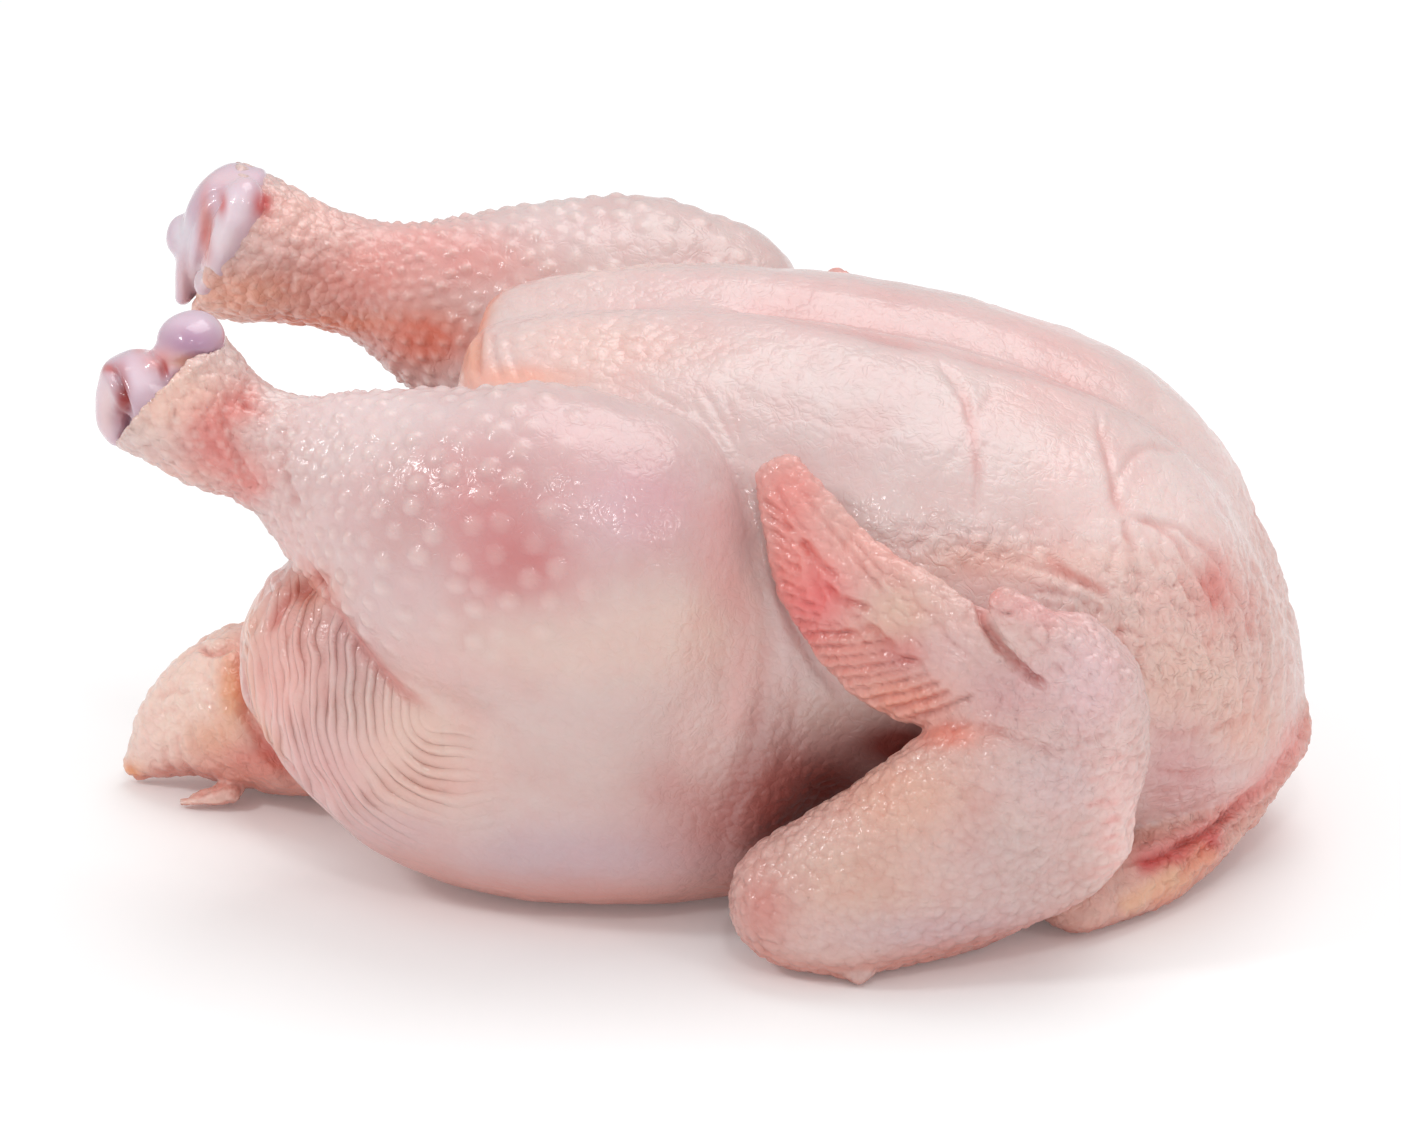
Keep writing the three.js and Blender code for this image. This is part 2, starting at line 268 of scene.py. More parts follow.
def trunk(steps=150, sides=160):
    """The breast over the rib cage. A section is a rounded box: y = half * |cos|^power and
    z = waist + reach * |sin|^power, less a groove of depth * exp(-(y / width)^2) along the keel."""
    top, wide = BREAST_TOP, BREAST_HALF_WIDTH
    stations = [
        [-50, 88, 66, 78, 5],
        [-49.5, top - 15, 42, 78, wide - 36],
        [-44.5, top - 5.5, 24, 73, wide - 24],
        [-29, top - 2, 10, 67, wide - 14],
        [-5, top, 2, 63, wide - 6],
        [22, top - 1, 0, 61, wide - 2],
        [48, top - 5, 0, 60, wide],
        [72, top - 11.5, 0, 58, wide - 2],
        [92, top - 20, 2, 54, wide - 9],
        [107, top - 32.5, 3, 49, wide - 18],
        [118, top - 51, 7, 44, wide - 31],
        [125, top - 68, 14, 38, wide - 46],
        [128.5, 40, 29, 34, 3],
    ]
    x, high, low, waist, half = rows_between(stations, np.linspace(0, 1, steps + 1)).T[:, :, None]
    turn = np.linspace(0, 2 * np.pi, sides, endpoint=False)[None]
    c, s = np.cos(turn), np.sin(turn)
    power = np.where(s > 0, TOP_POWER, UNDER_POWER)
    y = -half * np.sign(c) * np.abs(c) ** power
    reach = np.where(s > 0, high - waist, waist - low)
    groove = KEEL_GROOVE_DEPTH * np.exp(-((y / KEEL_GROOVE_WIDTH) ** 2)) * np.maximum(s, 0)
    z = waist + reach * np.sign(s) * np.abs(s) ** power - groove
    return skin_over(np.stack([np.broadcast_to(x, y.shape), y, z], -1))


PELVIS = [
    [-76, 0, 22, 28, 18],
    [-50, 0, 24, 40, 24],
    [-10, 0, 25, 44, 26],
    [40, 0, 24, 42, 25],
    [86, 0, 22, 36, 20],
]
THIGH = [
    [-81, -41, 53, 15, 19],
    [-65, -45, 47, 25, 30],
    [-42, -46, 41.5, 30, 39.5],
    [-16, -47, 41.5, 32, 41.5],
    [8, -44, 41, 28, 40],
]
LEFT_DRUMSTICK = [
    [-12, -56, 74, 31, 38],
    [-30, -55, 78.5, 31, 37.5],
    [-46, -53, 82.5, 28, 33.5],
    [-61, -49, 87.5, 21.5, 26],
    [-74, -46, 92, 15, 18.5],
    [-85, -44, 96, 11.5, 12.7],
    [-95, -43, 100, 13.5, 13],
    [-102, -42, 105, 15.2, 14.8],
    [-106.5, -41.5, 108.5, 15.5, 16.5],
]
RIGHT_DRUMSTICK = [
    [-8, 57, 79, 28, 34.5],
    [-24, 55, 83.5, 28, 35.5],
    [-40, 52, 88, 26, 31.5],
    [-54, 49, 93, 21, 25],
    [-66, 46, 97.5, 15, 18.5],
    [-77, 44.5, 101.5, 12, 13.5],
    [-89, 43, 105, 13, 13.5],
    [-101, 41, 109, 15.5, 16],
    [-110, 40, 112, 16.5, 17],
]
TAIL = [
    [-84, 0, 20, 22, 19.5],
    [-96, 0, 19, 19, 19],
    [-105, 0, 16.5, 14, 16.5],
    [-113, 0, 12.5, 10, 12],
    [-119, 0, 7.5, 6, 7],
    [-123, 0, 4, 3, 3.8],
]
NECK_SKIN = [
    [84, 54, 7, 9, 7],
    [97, 41, 8, 9, 8],
    [109.5, 22, 13, 9, 8.5],
    [121.5, 0, 24.5, 9, 9.5],
    [109.5, -22, 13, 9, 8.5],
    [97, -41, 8, 9, 8],
    [84, -54, 7, 9, 7],
]
CAVITY = [
    [-100, 0, 74, 20, 18],
    [-84, 0, 66, 25, 22],
    [-60, 0, 57, 30, 26],
    [-25, 0, 54, 36, 30],
    [15, 0, 54, 37, 30],
]
VENT_LIP = [
    [-64, -32, 70, 3.5, 3.5],
    [-76, -35, 66.5, 3.5, 3.5],
    [-85.5, -36, 58, 3.5, 3.5],
    [-88.5, -36, 47, 3.5, 3.5],
    [-85, -38, 36, 3.5, 3.5],
    [-77, -42, 27, 3, 3],
]
LEFT_SOCKET = [
    [-101, -42, 104, 10.5, 11],
    [-105, -41.6, 107.5, 13, 14],
    [-112, -41, 114, 14.5, 16],
]
RIGHT_SOCKET = [
    [-104, 40.6, 110, 11, 12],
    [-109, 40.1, 111.7, 14, 14.7],
    [-117, 39.5, 114.3, 15.5, 16.5],
]
TAIL_TAG = [[-101, -11, 3.6, 4, 2.4], [-107, -12.5, 2.4, 2.6, 1.3], [-111, -13, 1.6, 1.2, 0.8]]

VOXEL_MM = 0.8
body_room = block((-140, -106, -10), (140, 106, 138), VOXEL_MM)
grid_x, _, grid_z = body_room[2]
pelvis = limb_in(body_room, PELVIS, UP, caps=(12, 22))
body = fused(distance_to(trunk(), body_room), pelvis, blend=14)
shank_blend = 2.5 + 17 * ramp(grid_x, -45, 0)
knee_blend = 3 + 9 * ramp(grid_x, -40, 10) * fall(grid_z, 62, 92)
leg_volume = np.float32(BAND_MM)
for thigh_rows, lip_rows, drumstick, socket_rows in (
    (THIGH, VENT_LIP, LEFT_DRUMSTICK, LEFT_SOCKET),
    (mirrored(THIGH), mirrored(VENT_LIP), RIGHT_DRUMSTICK, RIGHT_SOCKET),
):
    thigh = limb_in(body_room, thigh_rows, UP, caps=(9, 24))
    lip = limb_in(body_room, lip_rows, UP, caps=(3, 3))
    shank = limb_in(body_room, drumstick, UP, caps=(26, 2.5))
    shank = cut_from(shank, limb_in(body_room, socket_rows, UP, caps=(3, 3)), blend=3)
    leg = fused(fused(thigh, lip, blend=7), shank, shank_blend)
    leg_volume = np.minimum(leg_volume, leg)
    body = fused(body, leg, knee_blend)
tail_tag = limb_in(body_room, TAIL_TAG, UP, caps=(3, 1))
tail_volume = fused(limb_in(body_room, TAIL, UP, caps=(10, 3)), tail_tag, blend=1.5)
body = fused(body, tail_volume, blend=5)
cavity_volume = limb_in(body_room, CAVITY, UP, caps=(10, 20))
body = cut_from(body, cavity_volume, blend=6)
neck_volume = limb_in(body_room, NECK_SKIN, UP, caps=(8, 8))
body = fused(body, neck_volume, blend=2.5)
body = cut_from(body, np.broadcast_to(grid_z, body.shape), blend=2)
body_points, body_quads = skin_of(body, body_room)


def share_of(volume, points, room, reach):
    """How much of each point belongs to one part's volume: 1 within it, 0 from reach outside it."""
    low, voxel, places = room
    top = [place.size - 1 for place in places]
    i, j, k = np.clip(np.rint((points - low) / voxel).astype(int), 0, top).T
    return ramp(-volume[i, j, k], -reach, 0)


# The skin's relief and colour are laid out as the picture shows them: a place on the near side is
# named by its picture point, and the far side takes the same as a mirror image.
PICTURE_MIDDLE = (701, 561)


def in_picture(points_mm, folded=True):
    """Right and down in picture points of places given from the middle of the keel, the far side
    folded over to the near side if wished: the middle, plus the way right or up, by scale over
    distance."""
    near = points_mm * 1.0
    if folded:
        near[:, 1] = -np.abs(points_mm[:, 1])
    away = near - (LOOK_AT_MM - TABLE_ZERO_MM)
    scale = PIXELS_PER_MM / (1 + away @ view_ahead / VIEW_DISTANCE_MM)
    right = PICTURE_MIDDLE[0] + away @ view_right * scale
    down = PICTURE_MIDDLE[1] - away @ view_up * scale
    return right.astype(np.float32), down.astype(np.float32)


def scrambled(cells, seed):
    """A number from 0 to 1 for each whole-numbered cell, by multiplying and folding its bits."""
    c = cells.astype(np.int64)
    h = (c[..., 0] * 73856093 ^ c[..., 1] * 19349663 ^ c[..., 2] * 83492791 ^ seed * 40503) & 0xFFFFFFFF
    h = ((h ^ h >> 15) * 0x2C1B3C6D) & 0xFFFFFFFF
    h = ((h ^ h >> 12) * 0x297A2D39) & 0xFFFFFFFF
    return ((h ^ h >> 15) & 0xFFFFFF).astype(np.float32) / 0xFFFFFF


def lumps(points, size, seed):
    """Smooth noise from -1 to 1 with lumps about size apart: numbers at the corners of cubes, blended."""
    place = points / np.asarray(size)
    cell = np.floor(place)
    f = place - cell
    f = f * f * (3 - 2 * f)
    total = 0
    for corner in itertools.product((0, 1), repeat=3):
        weight = np.prod(np.where(corner, f, 1 - f), axis=1)
        total = total + weight * scrambled(cell + corner, seed)
    return (2 * total - 1).astype(np.float32)


CREASE_REACH = 0.55


def pebbles(points, size, seed):
    """Rounded pebbles from 0 in their creases to 1 on top: by the distance to the nearest of one
    random place in each cube, taken from the distance to the second nearest."""
    place = (points / np.asarray(size)).astype(np.float32)
    cell = np.floor(place)
    first = np.full(len(points), 9, np.float32)
    second = first.copy()
    for step in itertools.product((-1, 0, 1), repeat=3):
        near = cell + step
        spot = near + np.stack([scrambled(near, seed + k) for k in range(3)], -1)
        gap = np.linalg.norm(place - spot, axis=1)
        second = np.minimum(second, np.maximum(first, gap))
        first = np.minimum(first, gap)
    rise = np.clip((second - first) / CREASE_REACH, 0, 1)
    return 1 - (1 - rise) ** 2


def stroke(right, down, line, width):
    """How near each picture point is to a drawn line, 1 on it, falling as exp(-(distance / width)^2),
    and fading over a sixth of the line at its two ends."""
    line = np.array(line, float)
    low, high = line.min(0) - 3 * width, line.max(0) + 3 * width
    close = np.flatnonzero((right > low[0]) & (right < high[0]) & (down > low[1]) & (down < high[1]))
    here = np.stack([right[close], down[close]], -1)
    lengths = np.linalg.norm(np.diff(line, axis=0), axis=1)
    starts = np.concatenate([[0], np.cumsum(lengths)[:-1]])
    best = np.full(len(close), 1e9)
    spot = np.zeros(len(close))
    for start, a, b, length in zip(starts, line[:-1], line[1:], lengths):
        t = np.clip((here - a) @ (b - a) / length**2, 0, 1)
        gap = np.linalg.norm(here - a - t[:, None] * (b - a), axis=1)
        spot = np.where(gap < best, (start + t * length) / lengths.sum(), spot)
        best = np.minimum(best, gap)
    result = np.zeros(len(right), np.float32)
    result[close] = np.exp(-((best / width) ** 2)) * ramp(spot, -0.02, 0.17) * ramp(1 - spot, -0.02, 0.17)
    return result


def patch(right, down, middle, half_size):
    """A soft round patch of the picture: exp(-(distance / half size)^2) each way."""
    return np.exp(-(((right - middle[0]) / half_size[0]) ** 2) - ((down - middle[1]) / half_size[1]) ** 2)


def colour_values(colour):
    """A colour given as it shows on a screen, 0 to 255, as the linear values that a shader takes."""
    c = np.asarray(colour, float) / 255
    return np.where(c < 0.04045, c / 12.92, ((c + 0.055) / 1.055) ** 2.4).astype(np.float32)


# Folds: a line of picture points, a depth in millimetres and a width in picture points. A depth below
# nothing is a ridge.
BREAST_FOLDS = [
    ([(935, 360), (952, 380), (965, 402), (972, 430)], 0.5, 4),
    ([(948, 366), (966, 392), (973, 425)], 0.3, 3),
    ([(995, 385), (985, 405), (972, 430)], 0.3, 4),
    ([(930, 480), (955, 455), (972, 430)], 0.25, 5),
    ([(972, 428), (977, 455), (977, 485), (972, 520)], 0.5, 3),
    ([(986, 440), (982, 465), (978, 490)], 0.3, 3),
    ([(1096, 408), (1102, 440), (1110, 470), (1114, 495), (1124, 518)], 0.45, 4),
    ([(1112, 405), (1108, 440), (1112, 475), (1120, 505)], 0.25, 4),
    ([(1144, 440), (1130, 458), (1118, 480), (1116, 500)], 0.4, 5),
    ([(1185, 450), (1150, 446), (1134, 458)], 0.5, 5),
    ([(1124, 518), (1126, 530), (1128, 545)], 0.7, 4),
    ([(1126, 516), (1150, 520), (1172, 535), (1190, 560), (1210, 590), (1225, 625)], 0.8, 4),
    ([(1140, 515), (1180, 528), (1215, 555), (1240, 600), (1256, 650)], 0.7, 4),
    ([(1130, 530), (1138, 560), (1136, 600)], 0.6, 4),
    ([(1118, 540), (1108, 570), (1116, 600)], 0.5, 4),
    ([(1146, 540), (1160, 570), (1172, 600), (1190, 630)], 0.6, 4),
    ([(1170, 560), (1190, 590), (1202, 625), (1212, 660)], 0.5, 4),
    ([(1202, 560), (1220, 590), (1232, 620), (1240, 660), (1244, 700)], 0.8, 5),
    ([(1040, 550), (1056, 562), (1075, 580), (1105, 590)], 0.35, 4),
    ([(1045, 570), (1080, 582), (1112, 598)], 0.35, 4),
    ([(985, 555), (1030, 566), (1075, 575), (1110, 600)], 0.3, 4),
    ([(1040, 590), (1080, 600), (1112, 620), (1132, 650)], 0.5, 4),
    ([(1236, 480), (1262, 545), (1274, 620), (1276, 700), (1266, 770)], 0.6, 4),
    ([(1250, 490), (1276, 560), (1287, 640), (1288, 720), (1280, 765)], 0.7, 4),
    ([(1222, 490), (1250, 550), (1264, 620), (1264, 700), (1248, 760)], 0.6, 5),
    ([(1264, 510), (1287, 580), (1297, 650), (1297, 720)], 0.6, 3),
    ([(1206, 480), (1234, 530), (1250, 590), (1252, 650), (1246, 720)], 0.5, 4),
    ([(1312, 700), (1296, 745), (1262, 785), (1225, 815)], 0.6, 5),
    ([(1250, 796), (1215, 826), (1170, 850), (1118, 866)], 1.3, 5),
    ([(1305, 745), (1275, 780), (1235, 812), (1200, 836), (1160, 852)], 0.7, 4),
    ([(1304, 765), (1275, 795), (1240, 825), (1205, 850), (1170, 868)], 0.7, 4),
    ([(1216, 838), (1206, 850), (1190, 866), (1176, 884)], 0.9, 4),
    ([(1290, 790), (1250, 835), (1220, 862), (1190, 880)], 0.7, 4),
    ([(1140, 740), (1180, 735), (1220, 728), (1260, 712)], 0.5, 5),
    ([(1160, 700), (1195, 690), (1235, 690)], 0.4, 4),
    ([(1150, 770), (1190, 778), (1235, 770), (1262, 755)], 0.5, 5),
    ([(520, 300), (700, 297), (860, 330), (1000, 364), (1100, 392), (1180, 432)], 0.8, 8),
    ([(480, 325), (478, 350), (478, 380)], 0.9, 4),
    ([(492, 330), (494, 355), (502, 382)], 0.7, 4),
    ([(508, 338), (512, 360), (522, 384)], 0.5, 4),
    ([(560, 390), (610, 404), (650, 428), (690, 462), (716, 500), (740, 545), (760, 600)], 1.0, 6),
    ([(690, 400), (715, 440), (738, 480), (752, 520), (762, 560)], 0.5, 4),
    ([(700, 385), (722, 420), (742, 460), (756, 500)], 0.4, 4),
    ([(670, 415), (700, 450), (728, 490), (748, 530)], 0.5, 4),
    ([(724, 395), (738, 430), (752, 465)], 0.35, 4),
    ([(640, 385), (680, 410), (715, 450)], 0.35, 4),
    ([(764, 560), (782, 600), (800, 640), (820, 672), (850, 704)], 0.6, 7),
]
LEG_FOLDS = [
    ([(298, 545), (322, 590), (346, 632), (372, 664), (404, 692), (436, 710)], 1.0, 5),
    ([(335, 578), (312, 584), (290, 596), (276, 612), (266, 634)], 1.6, 9),
    ([(470, 700), (460, 670), (462, 640), (480, 615)], 0.3, 6),
    ([(300, 612), (286, 640), (284, 680), (292, 730)], 0.5, 4),
    ([(318, 606), (304, 640), (302, 690), (312, 750)], 0.45, 4),
    ([(270, 640), (264, 670), (270, 710), (286, 750)], 0.5, 4),
    ([(330, 612), (322, 650), (326, 700), (338, 760)], 0.5, 4),
]
TAIL_FOLDS = [
    ([(243, 625), (240, 670), (245, 715), (262, 745), (285, 770), (300, 792)], 2.4, 7),
    ([(196, 645), (208, 652), (226, 650), (236, 640)], 1.8, 5),
    ([(198, 715), (192, 735), (200, 755), (225, 768), (250, 772)], 0.5, 4),
    ([(182, 722), (176, 748), (190, 772), (225, 784), (260, 786)], 0.45, 4),
    ([(212, 735), (222, 750), (242, 755), (262, 750)], 0.45, 4),
    ([(168, 735), (164, 760), (180, 780), (210, 792)], 0.6, 4),
    ([(150, 745), (155, 766), (170, 778)], 0.5, 4),
    ([(200, 700), (218, 708), (236, 702)], 0.6, 4),
    ([(196, 676), (214, 686), (234, 682)], 0.5, 5),
    ([(150, 700), (172, 690), (196, 692)], 0.45, 4),
    ([(146, 725), (160, 712), (182, 708)], 0.45, 4),
]
SHANK_FOLDS = [
    ([(240, 388), (226, 402), (222, 420), (232, 436), (240, 462), (262, 495)], 0.8, 5),
    ([(214, 398), (206, 420), (214, 446), (230, 470), (246, 498)], 0.6, 4),
    ([(196, 420), (190, 442), (206, 466), (222, 490)], 0.5, 4),
    ([(250, 378), (242, 398), (252, 412)], 0.9, 4),
    ([(272, 405), (258, 420), (262, 450), (280, 485)], 0.6, 5),
    ([(290, 420), (276, 440), (284, 470), (298, 510)], 0.7, 5),
    ([(178, 400), (170, 425), (186, 450), (200, 476)], 0.7, 4),
    ([(226, 402), (262, 408), (300, 404)], 0.4, 5),
    ([(230, 344), (207, 360), (168, 388), (150, 400), (134, 428), (116, 442)], -0.7, 4),
]
# The valley between a thigh and the flank in front of it.
SEAM_FOLDS = [
    ([(742, 530), (762, 580), (770, 640), (764, 700), (745, 760), (728, 820), (716, 880)], 0.5, 10),
    ([(790, 640), (800, 690), (790, 740), (770, 800)], 0.2, 6),
    ([(776, 640), (784, 690), (776, 740)], 0.15, 5),
]

# The slack skin at the rear of a thigh lies in nested bends, upright behind the crease under the leg
# and turned forwards below it.
LEG_CREASE = [(240, 440), (300, 548), (345, 628), (400, 692), (440, 712), (600, 752), (1400, 952)]
FOLD_CORNER = (432, 714)
FOLD_SLANT = 0.25
FOLD_LEVELS = (0, 110, 200, 320)
FOLD_NUMBERS = (0, 11.5, 24, 46)
CORNER_POWER = 2.4


def thigh_folds(right, down, points):
    """How many folds out from the corner each point lies, and how strong the folds are there. The level
    is (left^p + below^p)^(1/p), pushed about by noise, and folds are closer together far out."""
    left = np.maximum(FOLD_CORNER[0] - right, 0)
    below = 0.8 * np.maximum(down - FOLD_CORNER[1] - FOLD_SLANT * (right - FOLD_CORNER[0]), 0)
    level = (left**CORNER_POWER + below**CORNER_POWER) ** (1 / CORNER_POWER)
    level = level + 11 * lumps(points, 15, seed=40) + 4 * lumps(points, 6, seed=41)
    number = np.interp(level, FOLD_LEVELS, FOLD_NUMBERS).astype(np.float32)
    past_crease = down - np.interp(right, *np.array(LEG_CREASE, float).T)
    strength = ramp(past_crease, 0, 9) * ramp(level, -4, 8) * (1 - 0.2 * ramp(level, 90, 130))
    strength = strength * ramp(down, 560, 590)
    strength = strength * fall(level, 210, 255) * fall(right, 400, 530) * fall(down, 790, 868)
    return number, strength * np.clip(0.75 + 0.7 * lumps(points, 7, seed=42), 0.2, 1.2)


BUMPS_ROUND = 30
BUMP_ROWS = 1.15 * BUMPS_ROUND
BUMP_RADIUS = 0.36
BUMP_JITTER = 0.42
PATH_STEPS = 160


def goose_bumps(points, rows, seed):
    """Domes in staggered rows round a leg, as many in every row, so that they shrink towards its end:
    across is the turn round the leg and along is the way on it over its girth, in bumps."""
    path = rows_between(rows, np.linspace(0, 1, PATH_STEPS))
    tangent = np.gradient(path[:, :3], axis=0)
    tangent /= np.linalg.norm(tangent, axis=1, keepdims=True)
    girth = 2 * np.pi * path[:, 3:].mean(1)
    way = np.concatenate([[0], np.cumsum(np.linalg.norm(np.diff(path[:, :3], axis=0), axis=1) / girth[1:])])
    gaps = ((points[:, None, :].astype(np.float32) - path[None, :, :3].astype(np.float32)) ** 2).sum(-1)
    near = gaps.argmin(1)
    beyond = ((points - path[near, :3]) * tangent[near]).sum(1)
    side = np.cross(tangent[near], UP)
    side /= np.linalg.norm(side, axis=1, keepdims=True)
    upward = np.cross(side, tangent[near])
    out = points - path[near, :3]
    turn = np.arctan2((out * upward).sum(1), (out * side).sum(1)) / (2 * np.pi)
    along = (way[near] + beyond / girth[near]) * BUMP_ROWS
    across = turn * BUMPS_ROUND
    best = np.full(len(points), 9.0)
    height = np.zeros(len(points))
    for row_step in (-1, 0, 1):
        row = np.floor(along) + row_step
        for column_step in (-1, 0, 1):
            column = np.floor(across - 0.5 * (row % 2)) + column_step
            cell = np.stack([row, np.mod(column, BUMPS_ROUND), np.full(len(row), seed)], -1)
            shift = [scrambled(cell, seed + k) for k in range(3)]
            a = row + 0.5 + BUMP_JITTER * (shift[0] - 0.5) - along
            b = column + 0.5 + 0.5 * (row % 2) + BUMP_JITTER * (shift[1] - 0.5) - across
            gap = np.hypot(a, b)
            height = np.where(gap < best, 0.35 + 0.65 * shift[2], height)
            best = np.minimum(best, gap)
    return (height * np.clip(1 - (best / BUMP_RADIUS) ** 2, 0, 1) ** 0.9).astype(np.float32)


def normals_of(points, faces):
    """Each point's normal: the cross products of its faces' diagonals, summed and made one long."""
    a, b, c, d = (points[faces[:, k]] for k in range(4))
    across = np.cross(c - a, d - b)
    total = np.zeros((len(points), 3))
    for k, axis in itertools.product(range(4), range(3)):
        total[:, axis] += np.bincount(faces[:, k], across[:, axis], len(points))
    return total / np.linalg.norm(total, axis=1, keepdims=True)


# How squarely the skin has to face the camera for folds to begin, and for them to be whole.
FACING_RANGE = (0.02, 0.35)


def towards_camera(normals, points):
    """How squarely the skin faces the camera, once the far side is folded over: 0 past its edge."""
    folded = normals * np.where(points[:, 1:2] < 0, (1, 1, 1), (1, -1, 1))
    return ramp(-folded @ view_ahead, *FACING_RANGE).astype(np.float32)


def folded_skin(right, down, lines):
    """The skin's height over a set of folds: a wide rise along each line, with a deeper and narrower
    valley in it, which leaves a raised lip on both sides."""
    total = np.zeros(len(right), np.float32)
    for line, depth, width in lines:
        rise = 0.35 * stroke(right, down, line, 2.4 * width)
        valley = 1.25 * stroke(right, down, line, width)
        total += depth * (rise - valley)
    return total


def crinkled(points, size, seed):
    """Creases round flat islands, from 0 in the creases to 1: |noise| to the power 0.6."""
    warp = 0.35 * size * np.stack([lumps(points, size, seed + k) for k in range(1, 4)], -1)
    return np.minimum(2.2 * np.abs(lumps(points + warp, size, seed)), 1) ** 0.6


TABLE_CLEAR_MM = 1.0


def carved_skin(points, normals, relief):
    """The points moved out along their normals by the relief, which is none where the skin lies on
    the table, and the relief itself."""
    relief = relief * (points[:, 2] >= TABLE_CLEAR_MM)
    carved = points + normals * relief[:, None]
    carved[:, 2] = np.maximum(carved[:, 2], 0)
    return carved, relief


# Where the skin is of one kind: the middle of a patch of the picture and its half size.
KNEE = ((650, 500), (105, 80))
FLANK = ((760, 800), (70, 95))
SHOULDER = ((600, 345), (100, 32))
BREAST_FRONT = ((1130, 630), (130, 75))
BREAST_LOW = ((960, 545), (110, 26))
WISHBONE = ((1215, 670), (95, 140))
NECK_EDGE = ((1215, 838), (60, 30))

# How high each kind of relief stands.
FOLD_WAVE_MM = 0.48
FOLD_CREST_MM = 0.30
PEBBLE_MM = 0.5
COBBLE_MM = 0.8
CRINKLE_MM = 0.55
SCALE_MM = 0.55
SOFT_CELL_MM = 0.5
SMALL_CELL_MM = 0.3
WING_CRINKLE_MM = 0.6
SWELL_MM = 0.5
RIPPLE_MM = 0.2

normals = normals_of(body_points, body_quads)
right, down = in_picture(body_points)
facing = towards_camera(normals, body_points)
leg_share = share_of(leg_volume, body_points, body_room, 3)
tail_share = share_of(tail_volume, body_points, body_room, 4)
neck_share = share_of(neck_volume, body_points, body_room, 2)
cavity_share = share_of(cavity_volume, body_points, body_room, 3)
outer_share = 1 - cavity_share
far_share = ramp(body_points[:, 1], -6, 6)
near_half = 1 - 0.7 * far_share

relief = folded_skin(right, down, BREAST_FOLDS) * (1 - leg_share) * outer_share * facing * near_half
relief += folded_skin(right, down, LEG_FOLDS) * leg_share * outer_share * facing
relief += folded_skin(right, down, TAIL_FOLDS) * np.maximum(tail_share, leg_share) * outer_share * facing
relief += folded_skin(right, down, SHANK_FOLDS) * leg_share * facing
relief += folded_skin(right, down, SEAM_FOLDS) * facing * outer_share
fold_number, fold_share = thigh_folds(right, down, body_points)
fold_share = fold_share * leg_share * facing * outer_share
fold_wave = np.cos(np.pi * fold_number)
relief += FOLD_WAVE_MM * fold_wave * fold_share
relief += FOLD_CREST_MM * (np.abs(fold_wave) - 0.5) * fold_share
bumps = np.zeros(len(right), np.float32)
for side, rows in ((-1, LEFT_DRUMSTICK), (1, RIGHT_DRUMSTICK)):
    picked = np.flatnonzero((leg_share > 0.3) & (body_points[:, 1] * side > 0) & (body_points[:, 2] > 30))
    bumps[picked] = goose_bumps(body_points[picked], rows, seed=50 + side)
bump_share = leg_share * outer_share * fall(right, 520, 680) * fall(down, 590, 690)
bump_share = bump_share * (1 - patch(right, down, *KNEE))
far_bump_share = 0.55 * leg_share * far_share * fall(right, 640, 800) * fall(down, 520, 600)
bump_share = np.maximum(bump_share, far_bump_share)
small = pebbles(body_points, 2.4, seed=60)
large = pebbles(body_points, (4.6, 4.2, 4.2), seed=64)
crinkles = crinkled(body_points, 3.6, seed=61)
not_leg = 1 - leg_share
flank_share = patch(right, down, *FLANK) * (1 - 0.5 * ramp(leg_share, 0.6, 1))
shoulder_share = patch(right, down, *SHOULDER) * not_leg
side_share = np.maximum(patch(right, down, *BREAST_FRONT), patch(right, down, *BREAST_LOW)) * not_leg
wishbone_share = patch(right, down, *WISHBONE) * not_leg
shank_share = leg_share * fall(body_points[:, 0], -86, -66) * ramp(body_points[:, 2], 72, 82)
neck_edge_share = patch(right, down, *NECK_EDGE) * not_leg
relief += bumps * bump_share * (1 - 0.75 * shank_share)
pebbled = 1.4 * flank_share + 0.2 * shank_share + 0.35 * tail_share + 0.8 * wishbone_share + 0.7 * neck_share
pebbled = np.clip(pebbled, 0, 1.3)
cobbled = 0.9 * shoulder_share + side_share + 0.9 * shank_share + 0.5 * tail_share + neck_edge_share
cobbled = np.clip(cobbled, 0, 1)
wrinkled = side_share + 0.9 * wishbone_share + 0.8 * neck_share + neck_edge_share + 0.4 * tail_share + 0.1
wrinkled = np.clip(wrinkled, 0, 1.4)
relief += PEBBLE_MM * (small - 0.5) * pebbled
relief += COBBLE_MM * (large - 0.5) * cobbled
relief += CRINKLE_MM * (crinkles - 0.6) * wrinkled * outer_share
swell = SWELL_MM * lumps(body_points, 13, seed=70) + RIPPLE_MM * lumps(body_points, 5, seed=71)
relief += swell * outer_share
carved, relief = carved_skin(body_points, normals, relief)


def store(piece, name, values, kind="FLOAT"):
    """A value for each point of a piece, kept in its mesh under a name."""
    layer = piece.data.attributes.new(name, kind, "POINT")
    layer.data.foreach_set("value" if kind == "FLOAT" else "color", values.astype(np.float32).ravel())


def divided(name, points, faces, parts, values):
    """One skin as several pieces, by a part number for each face. Every piece keeps the whole skin's
    normals, so no seam shows, and its own points' values."""
    whole_normals = normals_of(points, faces)
    pieces = []
    for part in np.unique(parts):
        used, own_faces = np.unique(faces[parts == part], return_inverse=True)
        own_faces = own_faces.reshape(-1, faces.shape[1])
        piece = new_piece(f"{name}_{part}", points[used] + TABLE_ZERO_MM, own_faces)
        piece.data.normals_split_custom_set_from_vertices(whole_normals[used].tolist())
        for key, numbers in values.items():
            store(piece, key, numbers[used], "FLOAT_COLOR" if numbers.ndim > 1 else "FLOAT")
        pieces.append(piece)
    return pieces


